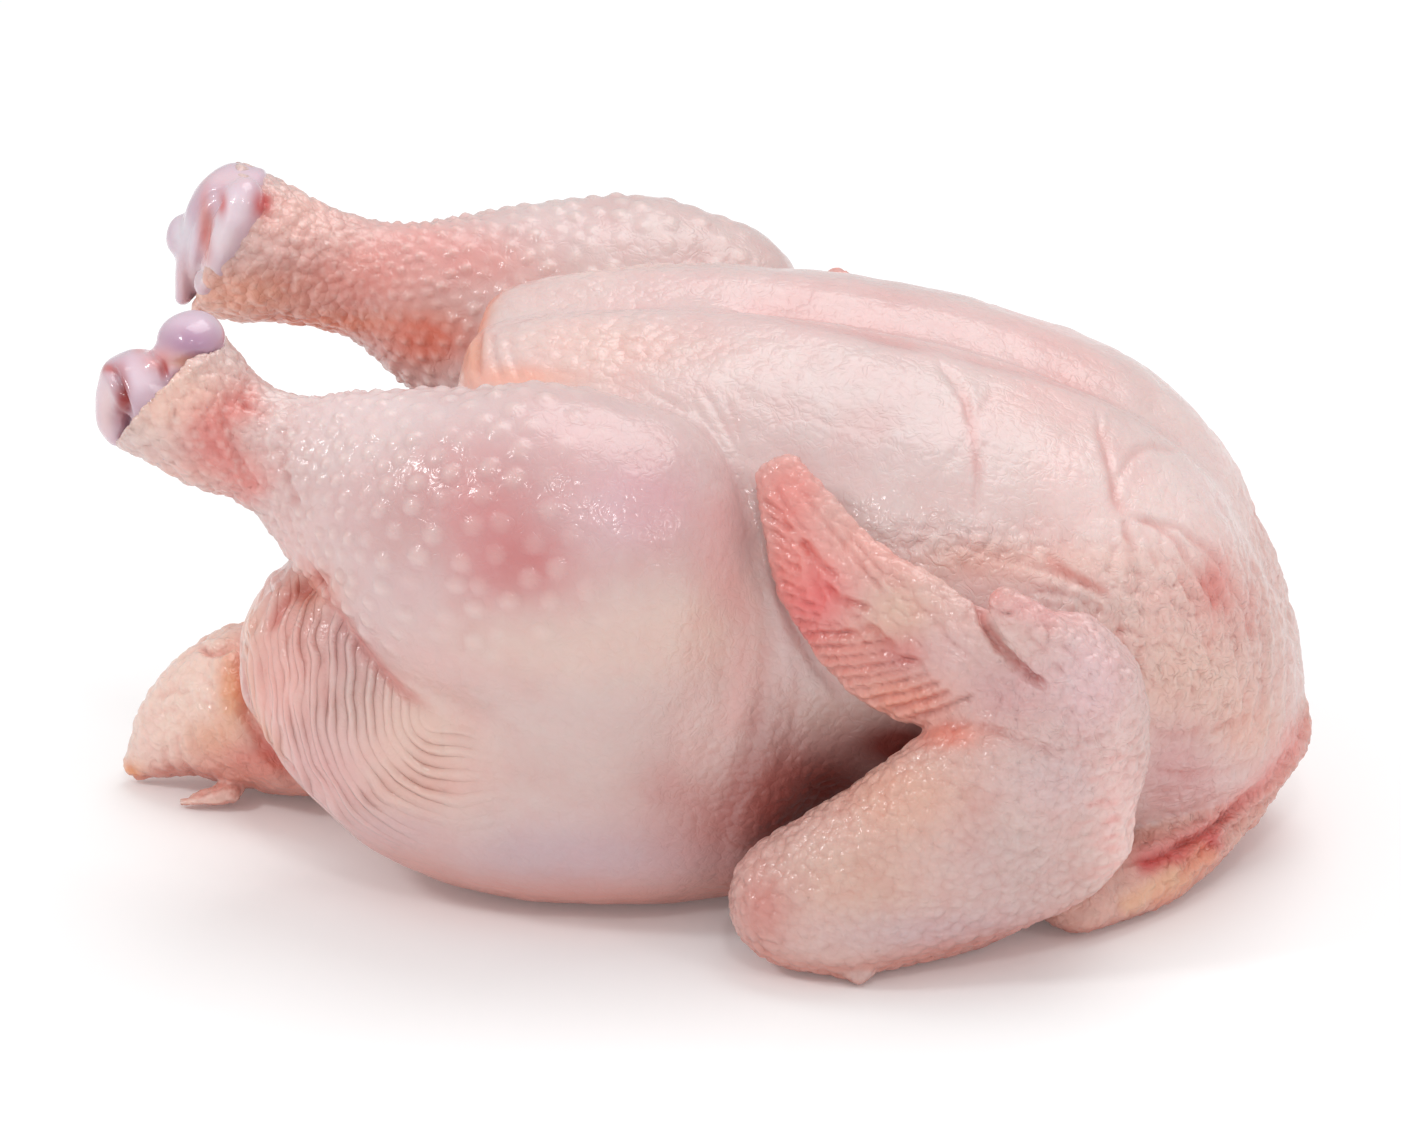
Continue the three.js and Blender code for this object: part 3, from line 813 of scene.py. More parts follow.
# The skin's colours, as they show in the picture: a ground colour for each part, then soft patches
# and lines of picture points laid over it in turn. A row is the place, the half size, the colour and
# how much of it is laid on.
BREAST_GROUND = (222, 195, 191)
LEG_GROUND = (213, 184, 180)
TAIL_GROUND = (238, 204, 192)
NECK_GROUND = (224, 168, 152)
INSIDE_GROUND = (196, 110, 98)
# Painted shade: a darker red for the skin that faces down near the table, so that the shade there, and the
# light it throws back on the table, read red.
UNDERSIDE_SHADE = (206, 128, 112)
BUMP_TOP_COLOUR = (242, 222, 214)
BREAST_TINTS = [
    ((620, 300), (160, 26), (220, 195, 193), 0.9),
    ((900, 320), (220, 30), (218, 188, 186), 0.7),
    ((850, 430), (160, 80), (214, 189, 187), 0.8),
    ((600, 345), (90, 28), (234, 198, 190), 0.8),
    # Painted light: the rear face of the breast is orange where light shines through the skin.
    ((472, 350), (14, 46), (230, 160, 136), 0.9),
    ((515, 378), (60, 12), (238, 178, 160), 0.9),
    ((1040, 400), (60, 30), (230, 188, 184), 0.7),
    ((1130, 330), (90, 40), (232, 188, 184), 0.7),
    ((1060, 470), (30, 60), (228, 194, 190), 0.7),
    ((1150, 520), (90, 60), (242, 218, 214), 0.85),
    ((1060, 565), (90, 22), (240, 204, 194), 0.85),
    ((980, 560), (60, 18), (228, 180, 168), 0.8),
    ((1180, 620), (100, 70), (236, 196, 186), 0.85),
    ((1216, 588), (20, 34), (222, 128, 120), 0.75),
    ((1250, 610), (14, 28), (224, 140, 132), 0.6),
    ((1262, 640), (30, 120), (222, 180, 172), 0.6),
    ((1190, 690), (80, 50), (230, 186, 170), 0.7),
    ((1180, 770), (44, 50), (210, 158, 156), 0.85),
    ((1250, 730), (40, 30), (230, 180, 164), 0.7),
    ((700, 690), (60, 80), (216, 174, 170), 0.8),
    ((850, 715), (60, 30), (218, 190, 182), 0.8),
    ((745, 560), (18, 60), (228, 192, 188), 0.8),
    # Painted shade: these last four patches are the dark red of the deep shade in the hollow between the
    # thigh, the wing and the flank.
    ((742, 826), (96, 56), (196, 130, 124), 0.7),
    ((782, 798), (74, 64), (156, 78, 69), 0.88),
    ((900, 745), (56, 28), (124, 44, 36), 0.95),
    ((835, 790), (46, 34), (140, 58, 48), 0.85),
]
NECK_BAND = [(1312, 700), (1290, 752), (1256, 790), (1214, 824), (1165, 850), (1112, 866)]
NECK_LINES = [
    (NECK_BAND, 15, (226, 146, 140), 0.85),
    ([(1224, 830), (1202, 848), (1178, 858), (1130, 868)], 12, (206, 62, 62), 0.85),
    ([(1214, 842), (1196, 866), (1180, 890), (1150, 912)], 14, (234, 160, 130), 0.8),
    ([(1186, 868), (1150, 892), (1116, 912)], 12, (234, 182, 148), 0.8),
]
BREAST_LINES = [
    ([(500, 302), (600, 296), (700, 299), (860, 330), (1000, 363), (1120, 395)], 15, (226, 184, 182), 0.5),
    ([(660, 432), (705, 475), (738, 530), (757, 590)], 15, (240, 216, 208), 0.8),
    # Painted shade: a line of darker red in the crease where the top of the leg meets the breast.
    ([(560, 392), (610, 406), (650, 430), (690, 464)], 5, (222, 156, 138), 0.8),
    *NECK_LINES,
    # Painted shade: lines of darker red in the folds of the breast.
    ([(1098, 420), (1112, 490), (1124, 518)], 7, (218, 160, 154), 0.35),
    ([(960, 385), (972, 430), (977, 480)], 6, (222, 164, 160), 0.5),
    ([(1126, 525), (1130, 560), (1128, 600)], 6, (220, 160, 150), 0.4),
    ([(1040, 556), (1075, 576), (1112, 596)], 6, (224, 144, 132), 0.5),
]
LEG_TINTS = [
    # Painted highlight: the broad pale sheen along the top of the drumstick.
    ((380, 415), (120, 34), (236, 220, 220), 0.8),
    ((330, 480), (60, 80), (224, 194, 192), 0.7),
    ((480, 480), (130, 66), (206, 156, 156), 0.8),
    ((560, 430), (110, 34), (220, 184, 184), 0.7),
    ((486, 515), (56, 46), (210, 148, 148), 0.8),
    ((512, 566), (70, 50), (206, 126, 126), 0.85),
    ((395, 610), (70, 70), (212, 178, 178), 0.7),
    ((430, 670), (60, 36), (206, 160, 166), 0.7),
    ((640, 505), (74, 52), (216, 172, 178), 0.9),
    ((715, 540), (34, 60), (218, 170, 168), 0.8),
    ((560, 650), (120, 42), (218, 186, 176), 0.85),
    ((690, 640), (80, 60), (228, 194, 182), 0.8),
    ((580, 760), (130, 70), (212, 184, 178), 0.8),
    ((690, 770), (40, 60), (204, 160, 156), 0.8),
    # Painted shade: a darker band along the bottom of the thigh.
    ((560, 860), (190, 36), (202, 174, 180), 0.85),
    ((410, 760), (70, 100), (230, 192, 178), 0.85),
    ((280, 660), (44, 90), (236, 178, 168), 0.9),
    ((310, 592), (30, 22), (214, 140, 120), 0.8),
    ((250, 610), (14, 40), (234, 188, 170), 0.7),
    ((315, 780), (56, 50), (224, 174, 170), 0.85),
    ((350, 440), (70, 40), (230, 206, 204), 0.6),
    ((390, 835), (70, 26), (212, 172, 172), 0.8),
    ((180, 400), (60, 40), (242, 200, 184), 0.9),
    ((190, 470), (60, 20), (230, 186, 176), 0.85),
    ((205, 445), (26, 26), (214, 136, 128), 0.6),
    # Painted shade: these two patches are the dark red of the deep shade in the hollow between the thigh and
    # the flank.
    ((742, 826), (96, 56), (196, 130, 124), 0.7),
    ((790, 796), (78, 66), (152, 72, 64), 0.85),
    ((700, 730), (40, 60), (222, 188, 182), 0.8),
]
LEG_LINES = [
    ([(272, 398), (240, 402), (212, 424), (222, 456), (246, 482), (268, 508)], 24, (224, 122, 114), 0.75),
    # Painted shade: a line of darker red in the crease under the leg.
    ([(300, 548), (350, 630), (400, 690), (440, 715)], 6, (210, 140, 132), 0.5),
    ([(250, 600), (246, 660), (262, 720), (290, 770)], 7, (224, 166, 142), 0.6),
    ([(720, 560), (742, 620), (740, 690), (720, 750)], 16, (222, 172, 166), 0.6),
]
TAIL_TINTS = [
    ((180, 680), (60, 60), (246, 214, 200), 0.9),
    ((232, 690), (14, 40), (230, 158, 118), 0.9),
    ((215, 740), (30, 24), (230, 172, 144), 0.8),
    ((255, 765), (44, 26), (214, 122, 106), 0.9),
    ((190, 778), (50, 16), (230, 164, 150), 0.85),
    ((130, 775), (12, 12), (238, 164, 116), 0.9),
]
FAR_LEG_TINTS = [
    ((560, 225), (120, 40), (220, 194, 192), 0.9),
    ((480, 262), (60, 30), (222, 158, 152), 0.8),
    ((360, 275), (80, 45), (232, 158, 148), 0.9),
    ((420, 245), (50, 22), (228, 162, 156), 0.8),
    ((290, 220), (60, 36), (240, 190, 180), 0.9),
    ((240, 295), (70, 26), (240, 176, 152), 0.9),
    ((330, 325), (90, 14), (232, 148, 122), 0.9),
    ((425, 340), (50, 30), (222, 118, 94), 0.95),
    ((264, 204), (8, 12), (206, 60, 56), 0.9),
]


def tinted(ground, rows, lines, right, down):
    """The ground colour with each patch and line mixed in by its share."""
    colour = np.broadcast_to(colour_values(ground), (len(right), 3)).copy()
    for middle, half_size, tint, strength in rows:
        share = np.minimum(1.15 * patch(right, down, middle, half_size), 1)[:, None] * strength
        colour += (colour_values(tint) - colour) * share
    for line, width, tint, strength in lines:
        share = stroke(right, down, line, width)[:, None] * strength
        colour += (colour_values(tint) - colour) * share
    return colour


def marbled(colour, points, relief_mm, bump_tops):
    """The last of the colour: blotches, painted shade that darkens the hollows and turns them red, and pale
    bump tops.
    """
    blotches = 0.6 * lumps(points, 14, seed=80) + 0.4 * lumps(points, 5, seed=81)
    redness = 0.5 * lumps(points, 9, seed=82) + 0.5 * lumps(points, 2.6, seed=83)
    colour = colour * (1 + 0.04 * blotches)[:, None]
    colour = colour * (1 + redness[:, None] * np.array([0.01, -0.05, -0.045]))
    # Painted shade: the deeper the relief sinks, the darker and more red the colour.
    hollow_shade = np.clip(-relief_mm / 1.6, 0, 1)[:, None]
    colour = colour * (1 - hollow_shade * np.array([0.08, 0.36, 0.38]))
    pale = colour_values(BUMP_TOP_COLOUR)
    return colour + (pale - colour) * (0.32 * np.clip(bump_tops, 0, 1))[:, None]


def for_mesh(colour):
    """A colour for each point with its opacity, in a shader's range."""
    return np.column_stack([np.clip(colour, 0.005, 0.98), np.ones(len(colour))])


def laid_over(colour, other, share):
    """One colour for each point laid over another by a share."""
    return colour + (other - colour) * share[:, None]


def underneath(normals, points):
    """How much of each point faces down near the table, which is where the painted shade goes."""
    return ramp(-normals[:, 2], 0.25, 0.8) * fall(points[:, 2], 6, 26)


colour = tinted(BREAST_GROUND, BREAST_TINTS, BREAST_LINES, right, down)
colour = laid_over(colour, tinted(NECK_GROUND, [], NECK_LINES, right, down), neck_share * 0.8)
colour = laid_over(colour, tinted(TAIL_GROUND, TAIL_TINTS, [], right, down), tail_share)
colour = laid_over(colour, tinted(LEG_GROUND, LEG_TINTS, LEG_LINES, right, down), leg_share)
unfolded_right, unfolded_down = in_picture(body_points, folded=False)
far_leg = tinted(LEG_GROUND, FAR_LEG_TINTS, [], unfolded_right, unfolded_down)
above_thigh = leg_share * far_share * ramp(body_points[:, 2], 62, 76)
colour = laid_over(colour, far_leg, above_thigh)
colour = marbled(colour, body_points, relief, bumps * bump_share)
inside = colour_values(INSIDE_GROUND) * (1 + 0.25 * lumps(body_points, 8, seed=84))[:, None]
colour = laid_over(colour, inside, cavity_share)
# Painted shade: the skin that faces down near the table is laid over with a darker red.
underside_shade = underneath(normals, body_points) * outer_share
colour = laid_over(colour, colour_values(UNDERSIDE_SHADE), 0.8 * underside_shade)

PARTS_ALONG_MM = (-45.0, 30.0)
face_middles = carved[body_quads].mean(1)
parts = 2 * np.searchsorted(PARTS_ALONG_MM, face_middles[:, 0]) + (face_middles[:, 1] > 0)
fine_cells = (
    0.25
    + 0.55 * np.maximum(pebbled, 0.8 * cobbled)
    + 0.5 * shank_share
    + 0.3 * tail_share
    - 0.2 * bump_share
)
fine_creases = 0.3 + 0.7 * wrinkled
carcass = divided(
    "carcass",
    carved,
    body_quads,
    parts,
    {
        "skin_colour": for_mesh(colour),
        "fold_number": fold_number,
        "fold_share": fold_share,
        "cell_share": fine_cells * outer_share,
        "crease_share": fine_creases,
    },
)


def raw_skin(name):
    """Moist raw skin: the painted colour with painted shade in the valleys of its folds and cells, light
    that soaks in and a wet coat. Its fine relief, in millimetres, is the thigh's folds from their stored
    number, rounded cells and creases."""
    finish = bpy.data.materials.new(name)
    finish.use_nodes = True
    nodes, links = finish.node_tree.nodes, finish.node_tree.links
    shader = nodes["Principled BSDF"]

    def stored(key):
        """A value kept in the mesh."""
        node = nodes.new("ShaderNodeAttribute")
        node.attribute_name = key
        return node.outputs["Color"] if key == "skin_colour" else node.outputs["Fac"]

    def sum_of(operation, *values):
        """One step of arithmetic on sockets or numbers."""
        node = nodes.new("ShaderNodeMath")
        node.operation = operation
        for socket, value in zip(node.inputs, values):
            if isinstance(value, (int, float)):
                socket.default_value = value
            else:
                links.new(value, socket)
        return node.outputs[0]

    def noise(scale, detail, distortion):
        """Smooth noise on the piece's own coordinates."""
        node = nodes.new("ShaderNodeTexNoise")
        node.inputs["Scale"].default_value = scale
        node.inputs["Detail"].default_value = detail
        node.inputs["Distortion"].default_value = distortion
        links.new(place, node.inputs["Vector"])
        return node.outputs["Fac"]

    place = nodes.new("ShaderNodeTexCoord").outputs["Object"]
    cells = nodes.new("ShaderNodeTexVoronoi")
    cells.inputs["Scale"].default_value = 520
    links.new(place, cells.inputs["Vector"])
    cell_height = sum_of("SUBTRACT", 0.4, sum_of("POWER", cells.outputs["Distance"], 2))
    wave = sum_of("COSINE", sum_of("MULTIPLY", stored("fold_number"), np.pi))
    ridge = sum_of("POWER", sum_of("ABSOLUTE", wave), 0.6)
    fold_height = sum_of("MULTIPLY", stored("fold_share"), ridge)
    crease_noise = noise(scale=330, detail=1, distortion=1.2)
    crease = sum_of("MULTIPLY", 5, sum_of("ABSOLUTE", sum_of("SUBTRACT", crease_noise, 0.5)))
    crease_height = sum_of("POWER", sum_of("MINIMUM", crease, 1), 0.6)
    grain = noise(scale=1300, detail=1, distortion=0)
    height = sum_of("MULTIPLY_ADD", fold_height, 0.6, sum_of("MULTIPLY", 0.03, grain))
    all_cells = sum_of("MULTIPLY", cell_height, stored("cell_share"))
    height = sum_of("ADD", height, sum_of("MULTIPLY", 0.45, all_cells))
    all_creases = sum_of("MULTIPLY", crease_height, stored("crease_share"))
    height = sum_of("ADD", height, sum_of("MULTIPLY", 0.16, all_creases))
    bump = nodes.new("ShaderNodeBump")
    bump.inputs["Strength"].default_value = 1
    bump.inputs["Distance"].default_value = 0.001
    links.new(height, bump.inputs["Height"])
    links.new(bump.outputs["Normal"], shader.inputs["Normal"])
    links.new(bump.outputs["Normal"], shader.inputs["Coat Normal"])

    # Painted shade: the colour is made a darker, deeper red in the valleys of the thigh's folds and in the
    # creases round the cells.
    valley = sum_of("MULTIPLY", stored("fold_share"), sum_of("SUBTRACT", 1, ridge))
    past_cell = sum_of("MAXIMUM", sum_of("SUBTRACT", cells.outputs["Distance"], 0.4), 0)
    gap = sum_of("MULTIPLY", stored("cell_share"), past_cell)
    painted_valley_shade = nodes.new("ShaderNodeMixRGB")
    painted_valley_shade.blend_type = "MULTIPLY"
    painted_valley_shade.inputs["Color2"].default_value = (0.88, 0.66, 0.6, 1)
    painted_valley_shade_share = sum_of("MULTIPLY_ADD", gap, 0.5, sum_of("MULTIPLY", valley, 0.55))
    links.new(sum_of("MINIMUM", painted_valley_shade_share, 1), painted_valley_shade.inputs["Fac"])
    links.new(stored("skin_colour"), painted_valley_shade.inputs["Color1"])
    links.new(painted_valley_shade.outputs["Color"], shader.inputs["Base Color"])
    shine = nodes.new("ShaderNodeMapRange")
    shine.inputs["To Min"].default_value = 0.26
    shine.inputs["To Max"].default_value = 0.44
    links.new(noise(scale=130, detail=1, distortion=0), shine.inputs["Value"])
    links.new(shine.outputs["Result"], shader.inputs["Roughness"])
    shader.inputs["Subsurface Weight"].default_value = 0.16
    shader.inputs["Subsurface Radius"].default_value = (1.0, 0.35, 0.25)
    shader.inputs["Subsurface Scale"].default_value = 0.0025
    shader.inputs["Coat Weight"].default_value = 0.45
    shader.inputs["Coat Roughness"].default_value = 0.11
    return finish


def dressed(piece, finish, node):
    """A piece's finish, and the solid that it stands for."""
    piece.data.materials.append(finish)
    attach(piece, "root")
    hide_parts(node)


skin_finish = raw_skin("raw skin")
for piece in carcass:
    dressed(piece, skin_finish, "chicken")

# The folded wings: upper arm on the table, forearm over it with skin stretched between the two, and
# the flat pointed hand turned back along the breast, with the thumb beside the wrist. The right wing
# is the left one's mirror image.
UPPER_ARM = [
    [78, -48, 18, 12, 14],
    [60, -64, 14, 13, 14],
    [38, -75.5, 13, 13, 13],
]
FOREARM = [
    [28, -78, 15, 14, 13],
    [40, -78, 22, 15.5, 13.5],
    [54, -77.5, 31, 16.5, 13],
    [67, -75.5, 42, 17, 12.5],
    [77, -73, 53, 16, 11.5],
    [83, -71, 61, 14, 10.5],
]
WING_SKIN = [
    [38, -78, 16, 12, 11],
    [60, -75, 24, 17, 10.5],
    [74, -71, 32, 21, 10],
    [79, -69, 38, 20, 9],
]
HAND = [
    [83, -71, 62, 14, 10],
    [72, -72, 62.5, 13.5, 9],
    [61, -71.5, 64.5, 14, 8],
    [48, -69, 69.5, 15.5, 6.5],
    [35, -65.5, 80, 12.5, 5.5],
    [27, -62, 92, 8.5, 4.5],
    [22, -59, 101.5, 5, 3.2],
]
THUMB = [
    [88, -75.5, 62, 9, 6],
    [79, -77.5, 72, 7, 5.5],
    [69, -76.5, 82, 3.6, 3.6],
]
SHOULDER_EDGE = [
    [87, -68, 58, 9, 8],
    [89.5, -67, 44, 9, 8],
    [83, -66, 31, 8, 8],
    [73, -62, 18, 8, 8.5],
]
ELBOW_TAG = [[36, -82, 5, 4, 3], [42, -85.5, 2.4, 2.4, 2]]
WING_SIDE = (0, -1, 0)
WING_VOXEL_MM = 0.65
wing_room = block((8, -106, -4), (112, -36, 114), WING_VOXEL_MM)
wing_x, _, wing_z = wing_room[2]
wing_volume = limb_in(wing_room, UPPER_ARM, UP, caps=(9, 12))
for rows, face, caps, blend in (
    (FOREARM, WING_SIDE, (14, 10), 8),
    (WING_SKIN, WING_SIDE, (10, 8), 10),
    (SHOULDER_EDGE, WING_SIDE, (8, 8), 7),
    (ELBOW_TAG, UP, (3, 1.5), 2),
    (HAND, WING_SIDE, (8, 2.5), 1.2 + 9 * ramp(wing_x, 60, 80)),
    (THUMB, WING_SIDE, (6, 3), 2.2),
):
    wing_volume = fused(wing_volume, limb_in(wing_room, rows, face, caps), blend)
wing_volume = cut_from(wing_volume, np.broadcast_to(wing_z, wing_volume.shape), blend=2)
wing_points, wing_quads = skin_of(wing_volume, wing_room)

HAND_FOLDS = [
    ([(772, 478), (786, 505), (800, 525), (820, 540), (842, 548)], 0.6, 3.5),
    ([(778, 512), (800, 540), (812, 565), (826, 590)], 0.8, 4),
    ([(800, 535), (818, 562), (842, 580)], 1.2, 5),
    ([(822, 580), (838, 600), (858, 604), (872, 612)], 1.5, 5),
    ([(806, 566), (818, 590), (824, 606)], 0.9, 4),
    ([(842, 602), (862, 622), (880, 640), (902, 650)], 1.0, 5),
    ([(846, 634), (880, 650), (920, 664), (934, 676)], 0.7, 4),
    ([(796, 480), (820, 515), (846, 545), (876, 582), (900, 608)], 0.7, 4),
    ([(808, 486), (836, 520), (868, 556), (905, 600), (930, 640)], 0.5, 4),
    ([(800, 632), (836, 634), (872, 628), (892, 640)], 0.9, 4),
    ([(880, 560), (915, 600), (950, 640), (985, 672)], 0.5, 6),
    ([(944, 729), (972, 722), (1004, 734), (1040, 748), (1070, 752)], 0.9, 5),
    ([(978, 596), (984, 622), (1000, 648), (1024, 670), (1050, 690)], 2.2, 5),
    ([(984, 604), (1000, 614), (1016, 614)], 0.9, 3),
    ([(1018, 622), (1040, 646), (1066, 676), (1084, 700)], 0.5, 4),
    ([(1034, 610), (1060, 640), (1088, 672), (1104, 700)], 0.4, 4),
]
HAND_EDGE = [(764, 500), (770, 535), (777, 568), (784, 602), (800, 640), (824, 670), (856, 696), (908, 722)]
EDGE_REACH = [(24, 16), (26, 16), (32, 18), (40, 14), (70, -4), (90, -12), (84, -20), (60, -24)]
EDGE_FOLDS = 19
EDGE_FOLD_DEPTH_MM = 1.0
EDGE_FOLD_WIDTH = 3.6
EDGE_OVERHANG = (3, 0)
EDGE_FOLD_SAG = (0, 2)
WRIST = ((1060, 720), (100, 90))
RED_STREAKS = ((1110, 820), (40, 90))


def along_table(rows, spots):
    """Places at numbered spots along a table of picture points, on straight lines between its rows."""
    columns = np.array(rows, float).T
    return np.stack([np.interp(spots, np.arange(len(rows)), column) for column in columns], -1)


def edge_wrinkles():
    """Short folds that run in from the hand's rear edge: a line from each of a row of places along it,
    each a little longer or shorter than the last."""
    spots = np.linspace(0, len(HAND_EDGE) - 1, EDGE_FOLDS)
    starts = along_table(HAND_EDGE, spots)
    longer = 0.8 + 0.4 * scrambled(np.stack([np.arange(EDGE_FOLDS)] * 3, -1), seed=90)
    ends = starts + along_table(EDGE_REACH, spots) * longer[:, None]
    folds = []
    for start, end in zip(starts, ends):
        line = [start - EDGE_OVERHANG, (start + end) / 2 + EDGE_FOLD_SAG, end]
        folds.append((line, EDGE_FOLD_DEPTH_MM, EDGE_FOLD_WIDTH))
    return folds


wing_normals = normals_of(wing_points, wing_quads)
right, down = in_picture(wing_points)
wing_facing = towards_camera(wing_normals, wing_points)
hand_share = fall(wing_points[:, 0], 58, 72) * ramp(wing_points[:, 2], 50, 58)
wrist_share = patch(right, down, *WRIST)
wing_relief = folded_skin(right, down, HAND_FOLDS + edge_wrinkles()) * wing_facing
ALONG_THE_HAND = np.array([[0.55, 0, 0.83], [0, 1, 0], [-0.83, 0, 0.55]])
scales = pebbles(wing_points @ ALONG_THE_HAND.T, (2.6, 3, 4.6), seed=92)
small_cells = pebbles(wing_points, 2.3, seed=94)
soft_cells = pebbles(wing_points, (3.8, 3.4, 3.4), seed=95)
wing_creases = crinkled(wing_points, 3.2, seed=93)
wing_relief += SCALE_MM * (scales - 0.5) * hand_share
wing_cells = SOFT_CELL_MM * (soft_cells - 0.5) + SMALL_CELL_MM * (small_cells - 0.5) * wrist_share
wing_relief += wing_cells * (1 - hand_share)
wing_relief += WING_CRINKLE_MM * (wing_creases - 0.6) * (0.25 + 0.75 * wrist_share)
wing_relief += SWELL_MM * lumps(wing_points, 11, seed=96) + RIPPLE_MM * lumps(wing_points, 4, seed=97)
wing_carved, wing_relief = carved_skin(wing_points, wing_normals, wing_relief)

WING_GROUND = (216, 180, 172)
STREAK_COLOUR = (224, 120, 112)
WING_TINTS = [
    ((790, 495), (36, 46), (232, 146, 138), 0.9),
    ((812, 590), (40, 50), (232, 112, 112), 0.95),
    ((790, 560), (20, 40), (234, 138, 130), 0.8),
    ((800, 640), (30, 16), (230, 116, 116), 0.7),
    ((860, 660), (60, 34), (228, 150, 138), 0.85),
    ((905, 700), (50, 24), (230, 150, 130), 0.85),
    ((875, 545), (70, 40), (232, 170, 160), 0.8),
    ((900, 620), (34, 34), (222, 182, 164), 0.8),
    ((945, 650), (40, 26), (216, 180, 176), 0.85),
    ((900, 655), (30, 20), (206, 132, 126), 0.85),
    ((985, 590), (16, 14), (232, 156, 150), 0.85),
    ((1035, 610), (50, 22), (230, 168, 166), 0.8),
    ((1010, 690), (50, 40), (208, 162, 162), 0.8),
    ((1010, 640), (30, 20), (224, 196, 190), 0.7),
    ((1090, 680), (44, 60), (232, 198, 200), 0.85),
    ((1060, 780), (70, 40), (216, 186, 186), 0.7),
    ((950, 735), (34, 14), (228, 140, 122), 0.85),
    ((900, 800), (70, 50), (224, 172, 152), 0.85),
    ((860, 880), (80, 50), (216, 176, 160), 0.8),
    ((1010, 870), (80, 60), (208, 180, 176), 0.8),
    ((980, 935), (140, 24), (206, 176, 178), 0.85),
    ((762, 915), (30, 44), (208, 144, 134), 0.85),
    ((1120, 820), (26, 80), (240, 200, 194), 0.85),
]
colour = tinted(WING_GROUND, WING_TINTS, [], right, down)
streaks = np.clip(lumps(wing_points, (4, 4, 1.2), seed=98) * 1.6 - 0.2, 0, 1)
streaks = streaks * patch(right, down, *RED_STREAKS)
colour = laid_over(colour, colour_values(STREAK_COLOUR), 0.35 * streaks)
nothing = np.zeros(len(wing_points))
colour = marbled(colour, wing_points, wing_relief, nothing)
# Painted shade: the wing's skin that faces down near the table is laid over with a darker red.
colour = laid_over(colour, colour_values(UNDERSIDE_SHADE), 0.8 * underneath(wing_normals, wing_points))
wing_values = {
    "skin_colour": for_mesh(colour),
    "fold_number": nothing,
    "fold_share": nothing,
    "cell_share": 0.9 - 0.5 * hand_share,
    "crease_share": 0.4 + 0.6 * wrist_share,
}
FAR_WING_LOW = 0.98  # the far wing lies a little lower
for name, side in (("left_wing", (1, 1, 1)), ("right_wing", (1, -1, FAR_WING_LOW))):
    faces = wing_quads if side[1] > 0 else wing_quads[:, ::-1]
    for piece in divided(name, wing_carved * side, faces, np.zeros(len(faces), int), wing_values):
        dressed(piece, skin_finish, "chicken")

# The gristly ends of the leg bones: rounded knuckles under smooth lilac gristle, with red flesh in the
# grooves between them, set in the open ends of the legs. They are laid out as the picture shows them.


def seen_at(right, down, y):
    """The place in millimetres, from the middle of the keel, where the camera's ray through a picture
    point meets the upright plane at y."""
    right_step = view_right * (right - PICTURE_MIDDLE[0]) / PIXELS_PER_MM
    up_step = view_up * (PICTURE_MIDDLE[1] - down) / PIXELS_PER_MM
    ray = view_ahead * VIEW_DISTANCE_MM + right_step + up_step
    start = camera_place_mm - TABLE_ZERO_MM
    return start + ray * (y - start[1]) / ray[1]


def roll_through(picture_points, y, breadth, thickness):
    """A rounded roll along a line of picture points in the plane at y."""
    rows = [[*seen_at(right, down, y), breadth, thickness] for right, down in picture_points]
    return limb(rows, WING_SIDE, (breadth, breadth), sides=32, steps=40, dome_rings=6)


def egg(middle, way, radii, room):
    """The distance to an egg whose first radius lies along its own way: (|place / radii| - 1) * least
    radius."""
    way = np.array(way, float) / np.linalg.norm(way)
    side = np.cross(way, (0, 1, 0))
    side /= np.linalg.norm(side)
    reach = 0
    for axis, radius in zip((way, side, np.cross(way, side)), radii):
        reach = reach + (sum((grid - middle[k]) * axis[k] for k, grid in enumerate(room[2])) / radius) ** 2
    return (np.sqrt(reach) - 1) * min(radii)


def gristle_end(name, node, room, eggs, rolls, grooves, tints):
    """A bone end: eggs and rolls fused, with grooves pressed in where the camera sees them. A row of
    eggs is the middle, the way, the radii and the blend; a row of rolls is a line of picture points, y
    and two half sizes."""
    volume = np.float32(BAND_MM)
    for middle, way, radii, blend in eggs:
        volume = fused(volume, egg(middle, way, radii, room), blend)
    for roll in rolls:
        volume = fused(volume, distance_to(roll_through(*roll), room), blend=1.2)
    points, quads = skin_of(volume, room)
    right, down = in_picture(points, folded=False)
    normals = normals_of(points, quads)
    pressed = folded_skin(right, down, grooves) * ramp(-normals @ view_ahead, *FACING_RANGE)
    points = points + normals * (pressed + 0.25 * lumps(points, 4, seed=99))[:, None]
    colour = tinted(GRISTLE_GROUND, tints, [], right, down)
    colour *= (1 + 0.06 * lumps(points, 5, seed=98))[:, None]
    nothing = np.zeros(len(points))
    values = {"skin_colour": for_mesh(colour), "cell_share": nothing, "crease_share": nothing}
    for piece in divided(name, points, quads, np.zeros(len(quads), int), values):
        dressed(piece, gristle_finish, node)


